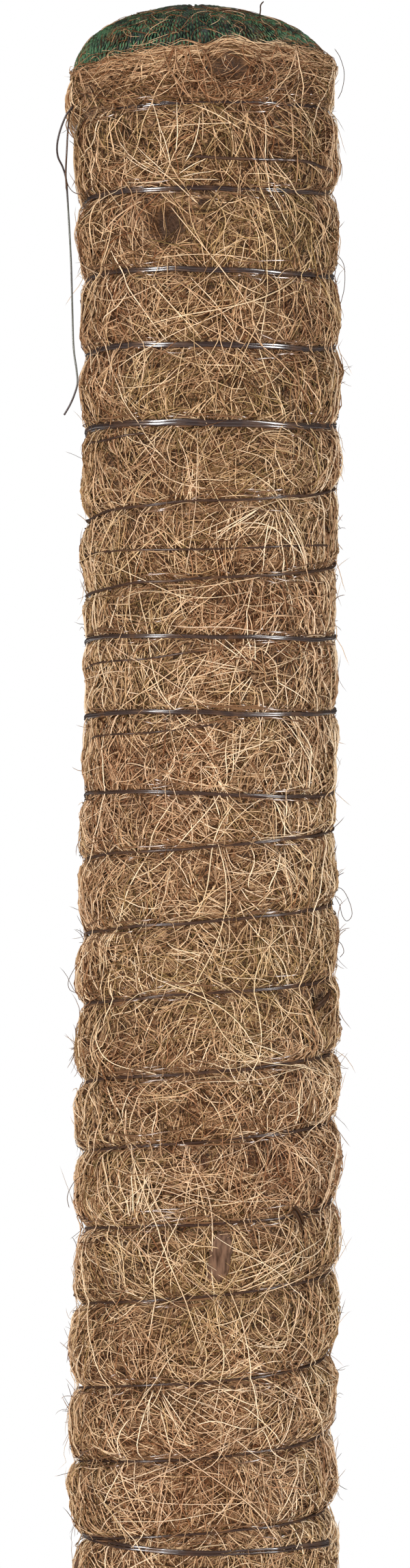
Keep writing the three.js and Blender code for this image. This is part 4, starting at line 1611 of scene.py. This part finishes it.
class COIRPOLE_OT_fibres(bpy.types.Operator):
    """Layers of coir fibre over the felt, from the matted underlay to the long pale strands"""

    bl_idname = "coir_pole.fibres"
    bl_label = "Coir fibres"

    def execute(self, context):
        form = Form()
        material = fibre_finish()
        for index, layer in enumerate(LAYERS):
            draw = np.random.default_rng(100 + index)
            strands = Strands()
            self.lay(form, draw, layer, strands)
            if layer.name == "coir_long":
                self.fans(form, draw, strands)
                self.pale_strands(form, strands)
            add_piece(strands.build(layer.name, material), "straw_coir")
        return {"FINISHED"}

    def lay(self, form, draw, layer, strands):
        """Lays one layer of curling fibres on the felt."""
        s, one = sizes(), (layer.count, 1)
        t = np.linspace(-0.5, 0.5, layer.points)
        start = draw.uniform(0, TURN, one)
        height = s.mat_foot + draw.random(one) * (form.edge_height(start) - s.mat_foot)
        roll, part = form.roll_of(start, height)
        length = draw.uniform(*layer.length, one)
        curl = draw.choice([-1, 1], one) / draw.uniform(*layer.bend, one)
        sway = draw.normal(0, 0.26, one) * np.sin(TURN * t + draw.uniform(0, TURN, one))
        heading = 1.2 * form.lie.at(start, height) + draw.normal(0, layer.spread, one)
        heading = heading * np.where(roll == 0, 0.5, 1) + curl * length * t + sway
        across, up = walk(np.cos(heading), length), walk(np.sin(heading), length)
        angle = start + centred(across) / s.crest_radius
        top = form.edge_height(angle) + draw.exponential(0.0003, one)
        foot = s.mat_foot - draw.exponential(0.0006, one)
        height = mirrored(height + centred(up), foot, top)
        place = None
        if not layer.over:
            place = roll, part + (start - angle) / TURN
            upper, lower = form.bounds_of(*place)
            upper = np.where(roll == 0, top, upper)
            lower = np.where(roll > winding().turns, foot, lower)
            height = np.clip(height, lower, upper)

        radius, relief, crest = form.mat(angle, height, place)
        over = draw.random(one) < layer.over
        bridge = np.where(over, draw.uniform(0.5, 0.65, one), 0)
        weave = 0.00010 * np.sin(TURN * (draw.uniform(1, 2.5, one) * t + draw.random(one)))
        rise = (draw.uniform(*layer.rise, one) + weave) * (0.15 + 0.85 * relief)
        radius = radius + bridge * (crest - radius) + rise - dip(t, 0.0005)
        width = draw.uniform(*layer.width, one) / 2 * taper(t, 0.55)
        shade = draw.uniform(*layer.shade, one) + 0.035 * form.tint.at(start, height)
        # Painted shade: darker towards the crown, where less light falls
        shade = shade - CROWN_PAINTED_SHADE * smooth(*CROWN_HEIGHTS, height)
        tone = np.clip(0.52 + 0.13 * form.tint.at(start + 1, height) + draw.normal(0, 0.24, one), 0, 1)
        keep = form.pocket(angle, height).max(1) < draw.uniform(0.05, 1.08, layer.count)
        lines = form.point(angle, radius, height)
        kept = (np.broadcast_to(x, height.shape + x.shape[2:])[keep] for x in (lines, width, shade, tone))
        strands.add(*kept, sunk=layer.sunk)

    def pale_strands(self, form, strands):
        """Long pale strands, each laid over the rolls along its own line."""
        points = 24
        t = np.linspace(-0.5, 0.5, points)
        for index, route in enumerate(PALE_STRANDS):
            degrees, height = through(route, points).T
            angle = FRONT + np.radians(degrees)
            radius, _, crest = form.mat(angle, height)
            radius = np.maximum(radius + 0.0003, crest - 0.0002) - 0.0006 * np.abs(2 * t) ** 8
            width = (0.00008 + 0.00001 * (index % 4)) * taper(t, 0.4)
            shade = 0.84 + 0.05 * (index % 3)
            strands.add(form.point(angle, radius, height)[None], width, shade, 0.5)

    def fans(self, form, draw, strands):
        """Fans of pale fibre that spread from where the thread pinches them."""
        fans = list(FANS)
        for _ in range(fibre().fans):
            turn = draw.uniform(1.2, winding().turns - 2)
            degrees = math.degrees(thread_angle(turn) - FRONT)
            heading = draw.choice([-1, 1]) * math.pi / 2 + draw.normal(0, 0.4)
            level = float(form.turn_height(np.array(turn)))
            reach = draw.uniform(0.006, 0.011)
            fan = degrees, level, heading, draw.uniform(0.5, 1.1), reach, fibre().fan_rays
            if math.cos(math.radians(degrees)) < 0.3:
                fans.append(fan)
        t = np.linspace(0, 1, 8)
        for degrees, level, middle, spread, reach, count in fans:
            one = count, 1
            heading = middle + spread * np.linspace(-1, 1, count)[:, None] + draw.normal(0, 0.08, one)
            length = reach * draw.uniform(0.5, 1.15, one)
            gap = draw.uniform(0, 0.3, one) * length
            heading = heading + draw.normal(0, 0.35, one) * t
            across = walk(np.cos(heading), length) + gap * np.cos(heading[:, :1])
            angle = around(degrees) + across / sizes().crest_radius
            height = level + walk(np.sin(heading), length) + gap * np.sin(heading[:, :1])
            height = mirrored(height, sizes().mat_foot, form.edge_height(angle))
            radius, relief, crest = form.mat(angle, height)
            radius = radius + 0.2 * (crest - radius) * (1 - t) + 0.0006 * relief - 0.0006 * t**6
            width = draw.uniform(0.00007, 0.00011, one) * (1 - 0.4 * t)
            shade = draw.uniform(0.8, 1.15, one)
            strands.add(form.point(angle, radius, height), width, shade, 0.5)


class COIRPOLE_OT_strays(bpy.types.Operator):
    """Loose ends: fuzz on the outline, fibres over the crown, a fringe at the foot and single hairs"""

    bl_idname = "coir_pole.strays"
    bl_label = "Stray fibres"

    def execute(self, context):
        form = Form()
        draw = np.random.default_rng(200)
        material = fibre_finish()
        strands = Strands()
        self.fuzz(form, draw, strands)
        self.tufts(form, draw, strands)
        self.fringe(form, draw, strands)
        self.hairs(strands)
        for node in ("start_knot", "end_knot"):
            self.knot_cover(form, draw, strands, node)
        add_piece(strands.build("coir_fuzz", material), "straw_coir")
        strands = Strands()
        self.crown(form, draw, strands)
        add_piece(strands.build("crown_strays", material), "straw_coir")
        strands = Strands()
        self.edging(form, draw, strands)
        self.laps(form, draw, strands)
        add_piece(strands.build("coir_edging", material), "straw_coir")
        return {"FINISHED"}

    def edging(self, form, draw, strands):
        """Fibres combed along the coir's upper edge."""
        count, points = fibre().edging, 9
        one, t = (count, 1), np.linspace(-0.5, 0.5, points)
        length = draw.uniform(0.006, 0.015, one)
        angle = draw.uniform(0, TURN, one) + length * t / sizes().crest_radius
        depth = np.abs(draw.normal(0, 0.0024, one)) + draw.normal(0, 0.0022, one) * t
        wave = 0.0002 * np.sin(TURN * (draw.uniform(0.5, 1.5, one) * t + draw.random(one)))
        over = draw.exponential(0.0004, one) + 0.0016 * t * draw.normal(0, 0.6, one)
        height = form.edge_height(angle) + over - np.abs(depth + wave)
        radius = form.felt(angle, height) + draw.uniform(0.0, 0.0004, one) - dip(t, 0.0004)
        width = draw.uniform(0.00005, 0.00008, one) * taper(t, 0.5)
        shade = draw.uniform(0.05, 0.8, one)
        keep = form.pocket(angle, height).max(1) < draw.uniform(0.15, 0.95, count)
        tone = draw.uniform(0.3, 0.9, one)
        strands.add(form.point(angle, radius, height)[keep], width[keep], shade[keep], tone[keep])

    def laps(self, form, draw, strands):
        """Laps of the mat at the front, where reddish fibres stand upright and curl."""
        t, middles, lowest, over = np.linspace(-0.5, 0.5, 12), (0.3845, 0.3905), 0.3825, 0.0003
        for degrees, half, count, bend, lean, palest in LAPS:
            one = count, 1
            length = draw.uniform(0.005, 0.009, one)
            turn = draw.choice([-1, 1], one) / draw.uniform(0.7 * bend, 1.6 * bend, one)
            heading = math.pi / 2 + draw.uniform(-lean, lean, one) + turn * length * t
            across, up = walk(np.cos(heading), length), walk(np.sin(heading), length)
            angle = around(degrees) + np.radians(draw.normal(0, half, one))
            angle = angle + centred(across) / sizes().crest_radius
            height = draw.uniform(*middles, one) + centred(up)
            height = mirrored(height, lowest, form.edge_height(angle) + over)
            radius = form.felt(angle, height) + draw.uniform(0.0002, 0.0009, one) - dip(t, 0.0004)
            width = draw.uniform(0.00006, 0.00010, one) * taper(t, 0.5)
            # The curls are kept darker, partly reddish fibre and partly painted shade in the hollow among
            # them
            shade = draw.uniform(0.0, palest, one)
            keep = form.pocket(angle, height).max(1) < draw.uniform(0.15, 0.95, count)
            tone = draw.uniform(0.6, 1.0, one)
            strands.add(form.point(angle, radius, height)[keep], width[keep], shade[keep], tone[keep])

    def fuzz(self, form, draw, strands):
        """Thin hairs that leave the felt and lift away at one end."""
        s, count, points = sizes(), fibre().fuzz, 8
        one, t = (count, 1), np.linspace(0, 1, points)
        angle = draw.uniform(0, TURN, one)
        height = s.mat_foot + draw.random(one) * (form.edge_height(angle) - s.mat_foot)
        length = draw.uniform(0.004, 0.012, one)
        heading = draw.uniform(0, TURN, one) + draw.normal(0, 1.4, one) * t
        angle = angle + walk(np.cos(heading), length) / s.crest_radius
        height = height + walk(np.sin(heading), length)
        height = mirrored(height, s.mat_foot, form.edge_height(angle) + 0.001)
        radius, _, crest = form.mat(angle, height)
        lift = np.minimum(draw.exponential(0.0007, one) + 0.0003, 0.003)
        radius = radius + 0.3 * (crest - radius) * t + lift * t**1.7
        width = draw.uniform(0.00005, 0.00010, one) * (1 - 0.5 * t)
        shade = draw.uniform(0.05, 0.75, one)
        strands.add(form.point(angle, radius, height), width, shade, draw.uniform(0.3, 0.8, one))

    def tufts(self, form, draw, strands):
        """Clumps of dark ends that stand out from the pole's sides."""
        t, root = np.linspace(0, 1, 9), 0.0002
        for degrees, middle, count in TUFTS:
            one = count, 1
            length = draw.uniform(0.0012, 0.0036, one)
            heading = draw.choice([-1, 1], one) * draw.uniform(0.7, 1.5, one) + draw.normal(0, 0.7, one) * t
            angle = around(degrees) + draw.normal(0, 0.12, one) + 0.02 * draw.normal(0, 1, one) * t
            height = middle + draw.normal(0, 0.0013, one) + walk(np.sin(heading), length)
            radius = form.felt(angle[:, :1], height[:, :1]) + walk(np.abs(np.cos(heading)), length) - root
            width = draw.uniform(0.00004, 0.00008, one) * (1 - 0.5 * t)
            strands.add(form.point(angle, radius, height), width, draw.uniform(0.0, 0.4, one), 0.6)

    def fringe(self, form, draw, strands):
        """Ends that hang a little below the coir's lower edge."""
        s, count, points, root = sizes(), fibre().foot_fringe, 7, 0.002
        one, t = (count, 1), np.linspace(0, 1, points)
        angle = draw.uniform(0, TURN, one) + draw.normal(0, 0.10, one) * t
        drop = draw.uniform(0.001, 0.005, one)
        height = s.mat_foot + root - drop * t
        inside = draw.uniform(0.0002, 0.0024, one)
        radius = s.crest_radius - s.foot_round - inside + draw.normal(0, 0.0005, one) * t
        width = draw.uniform(0.00008, 0.00014, one) * (1 - 0.5 * t)
        strands.add(form.point(angle, radius, height), width, draw.uniform(0.2, 0.9, one), 0.5)

    def knot_cover(self, form, draw, strands, node):
        """Fibres that lie over a knot and half hide it."""
        low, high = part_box(node)
        middle = (low + high) / 2
        count, points = 70, 9
        one, t = (count, 1), np.linspace(-0.5, 0.5, points)
        length = draw.uniform(0.005, 0.009, one)
        heading = draw.normal(math.pi / 2, 0.6, one) + draw.normal(0, 0.8, one) * t
        across, up = walk(np.cos(heading), length), walk(np.sin(heading), length)
        shift_across, shift_up = draw.normal(0, 0.0012, (2, count, 1))
        angle = math.atan2(middle.y, middle.x) + (centred(across) + shift_across) / sizes().crest_radius
        height = middle.z + centred(up) + shift_up
        over = middle.xy.length + draw.uniform(0.0003, 0.0008, one)
        radius = form.felt(angle, height)
        radius = radius + (np.maximum(over, radius) - radius) * (1 - (2 * t) ** 2)
        width = draw.uniform(0.00007, 0.00011, one) * taper(t, 0.5)
        shade = draw.uniform(0.2, 0.9, one)
        strands.add(form.point(angle, radius, height), width, shade, draw.uniform(0.3, 0.8, one))

    def hairs(self, strands):
        """Single hairs and the twig on the dome, each along its own line."""
        points, hair, twig, tone = 26, 0.00006, 0.00013, 0.5
        for route in STRAY_HAIRS:
            strands.add(through(route, points)[None], hair, 0.05, tone)
        strands.add(through(TWIG, points)[None], twig, 0.0, tone)

    def crown(self, form, draw, strands):
        """Fibres caught on the dome, laid flat across it."""
        dome_radius, dome_height = form.dome(np.linspace(math.pi / 2, 0, 120))
        arc = arc_length(dome_radius, dome_height)
        count, points, seat = fibre().crown_strays, 9, 0.0002
        one, t = (count, 1), np.linspace(-0.5, 0.5, points)
        away = arc[-1] * np.sqrt(draw.uniform(0.12, 0.98, one))
        bearing = draw.uniform(0, TURN, one)
        length = draw.uniform(0.002, 0.008, one)
        heading = draw.uniform(0, TURN, one) + draw.normal(0, 1.6, one) * t
        x = away * np.cos(bearing) + walk(np.cos(heading), length)
        y = away * np.sin(bearing) + walk(np.sin(heading), length)
        reach = np.minimum(np.hypot(x, y), arc[-1])
        rise = draw.uniform(-0.0002, 0.00006, one) - 0.0003 * np.abs(2 * t) ** 4
        radius = np.interp(reach, arc, dome_radius) + rise * reach / arc[-1]
        height = np.interp(reach, arc, dome_height) - seat + rise * (1 - 0.5 * reach / arc[-1])
        width = draw.uniform(0.00004, 0.00007, one) * taper(t, 0.5)
        shade = 0.02 + 0.9 * draw.random(one) ** 2.2
        strands.add(form.point(np.arctan2(y, x), radius, height), width, shade, draw.uniform(0.4, 1.0, one))


class COIRPOLE_OT_husk(bpy.types.Operator):
    """Flakes of husk and broken stalks caught in the fibre"""

    bl_idname = "coir_pole.husk"
    bl_label = "Husk bits"

    def execute(self, context):
        form = Form()
        draw = np.random.default_rng(300)
        material = husk_finish()
        flakes = [LARGE_FLAKE]
        for _ in range(fibre().flakes):
            place = draw.uniform(60, 300), draw.uniform(0.125, 0.38)
            flakes.append((*place, draw.uniform(0.0012, 0.0026), draw.uniform(0.003, 0.006)))
        for index, flake in enumerate(flakes):
            self.flake(form, draw, f"husk_flake_{index:02d}", flake, material)
        self.stalks(form)
        return {"FINISHED"}

    def flake(self, form, draw, name, flake, material):
        """A thin curved plate with a ragged outline, lying in the fibre."""
        degrees, middle, width, tall = flake
        rows, columns, rise, wall = 16, 7, 0.00046, 0.00022
        v, u = np.meshgrid(np.linspace(-1, 1, rows), np.linspace(-1, 1, columns), indexing="ij")
        ragged = 1 - 0.5 * np.abs(v) ** 2.5 + draw.normal(0, 0.07, (rows, 1))
        ends = tall / 2 * v + 0.0004 * draw.normal(0, 1, (1, columns)) * v**2
        height = middle + ends
        angle = around(degrees) + u * ragged * width / 2 / sizes().crest_radius + 0.02 * v
        radius = form.felt(angle, height) + rise - 0.0004 * np.abs(v) ** 3 - 0.0001 * u**2
        face = form.point(angle, radius, height)
        index = np.arange(rows * columns).reshape(rows, columns)
        here, beyond = index[:-1], index[1:]
        faces = np.stack([here[:, :-1], here[:, 1:], beyond[:, 1:], beyond[:, :-1]], -1).reshape(-1, 4)
        mesh = new_mesh(name, face.reshape(-1, 3), [faces], material)
        thicken(add_piece(mesh, "packed_coir"), wall)

    def stalks(self, form):
        """Short dark twigs, each split into three."""
        t, thick, splits, splay = np.linspace(0, 1, 9), 0.00030, (-0.0003, 0.0, 0.00035), 20
        strands = Strands()
        for (from_degrees, start), (to_degrees, end) in STALKS:
            angle = around(from_degrees) + math.radians(to_degrees - from_degrees) * t
            height = start + (end - start) * t
            radius = sizes().crest_radius - 0.0002 + 0.0003 * np.sin(math.pi * t)
            for shift in splits:
                centres = form.point(angle + shift * splay, radius + abs(shift), height + shift)[None]
                strands.add(centres, thick * (1 - 0.4 * t), 0.0, 0.5, 6)
        add_piece(strands.build("husk_stalk", fibre_finish()), "packed_coir")


class COIRPOLE_PT_sidebar(bpy.types.Panel):
    """Lists the pole's sizes and the steps that build it"""

    bl_idname = "COIRPOLE_PT_sidebar"
    bl_label = "Coir pole"
    bl_space_type = "VIEW_3D"
    bl_region_type = "UI"
    bl_category = "Coir pole"

    def draw(self, context):
        for step in STEPS:
            self.layout.operator(step.bl_idname)
        for group in (sizes(), winding(), fibre(), colours()):
            box = self.layout.box()
            for name in group.__annotations__:
                box.prop(group, name)


STEPS = (
    COIRPOLE_OT_stage,
    COIRPOLE_OT_tail,
    COIRPOLE_OT_core,
    COIRPOLE_OT_stuffing,
    COIRPOLE_OT_net,
    COIRPOLE_OT_felt,
    COIRPOLE_OT_thread,
    COIRPOLE_OT_fibres,
    COIRPOLE_OT_strays,
    COIRPOLE_OT_husk,
)
GROUPS = {
    "coir_pole_sizes": PoleSizes,
    "coir_pole_thread": ThreadSizes,
    "coir_pole_fibre": FibreSizes,
    "coir_pole_colours": PoleColours,
}
CLASSES = (*GROUPS.values(), *STEPS, COIRPOLE_PT_sidebar)


def register():
    for kind in CLASSES:
        bpy.utils.register_class(kind)
    for name, group in GROUPS.items():
        setattr(bpy.types.Scene, name, PointerProperty(type=group))


def unregister():
    for name in GROUPS:
        delattr(bpy.types.Scene, name)
    for kind in reversed(CLASSES):
        bpy.utils.unregister_class(kind)


def main():
    register()
    bpy.ops.coir_pole.stage()
    bpy.ops.coir_pole.tail()
    bpy.ops.coir_pole.core()
    bpy.ops.coir_pole.stuffing()
    bpy.ops.coir_pole.net()
    bpy.ops.coir_pole.felt()
    bpy.ops.coir_pole.thread()
    bpy.ops.coir_pole.fibres()
    bpy.ops.coir_pole.strays()
    bpy.ops.coir_pole.husk()


if __name__ == "__main__":
    main()
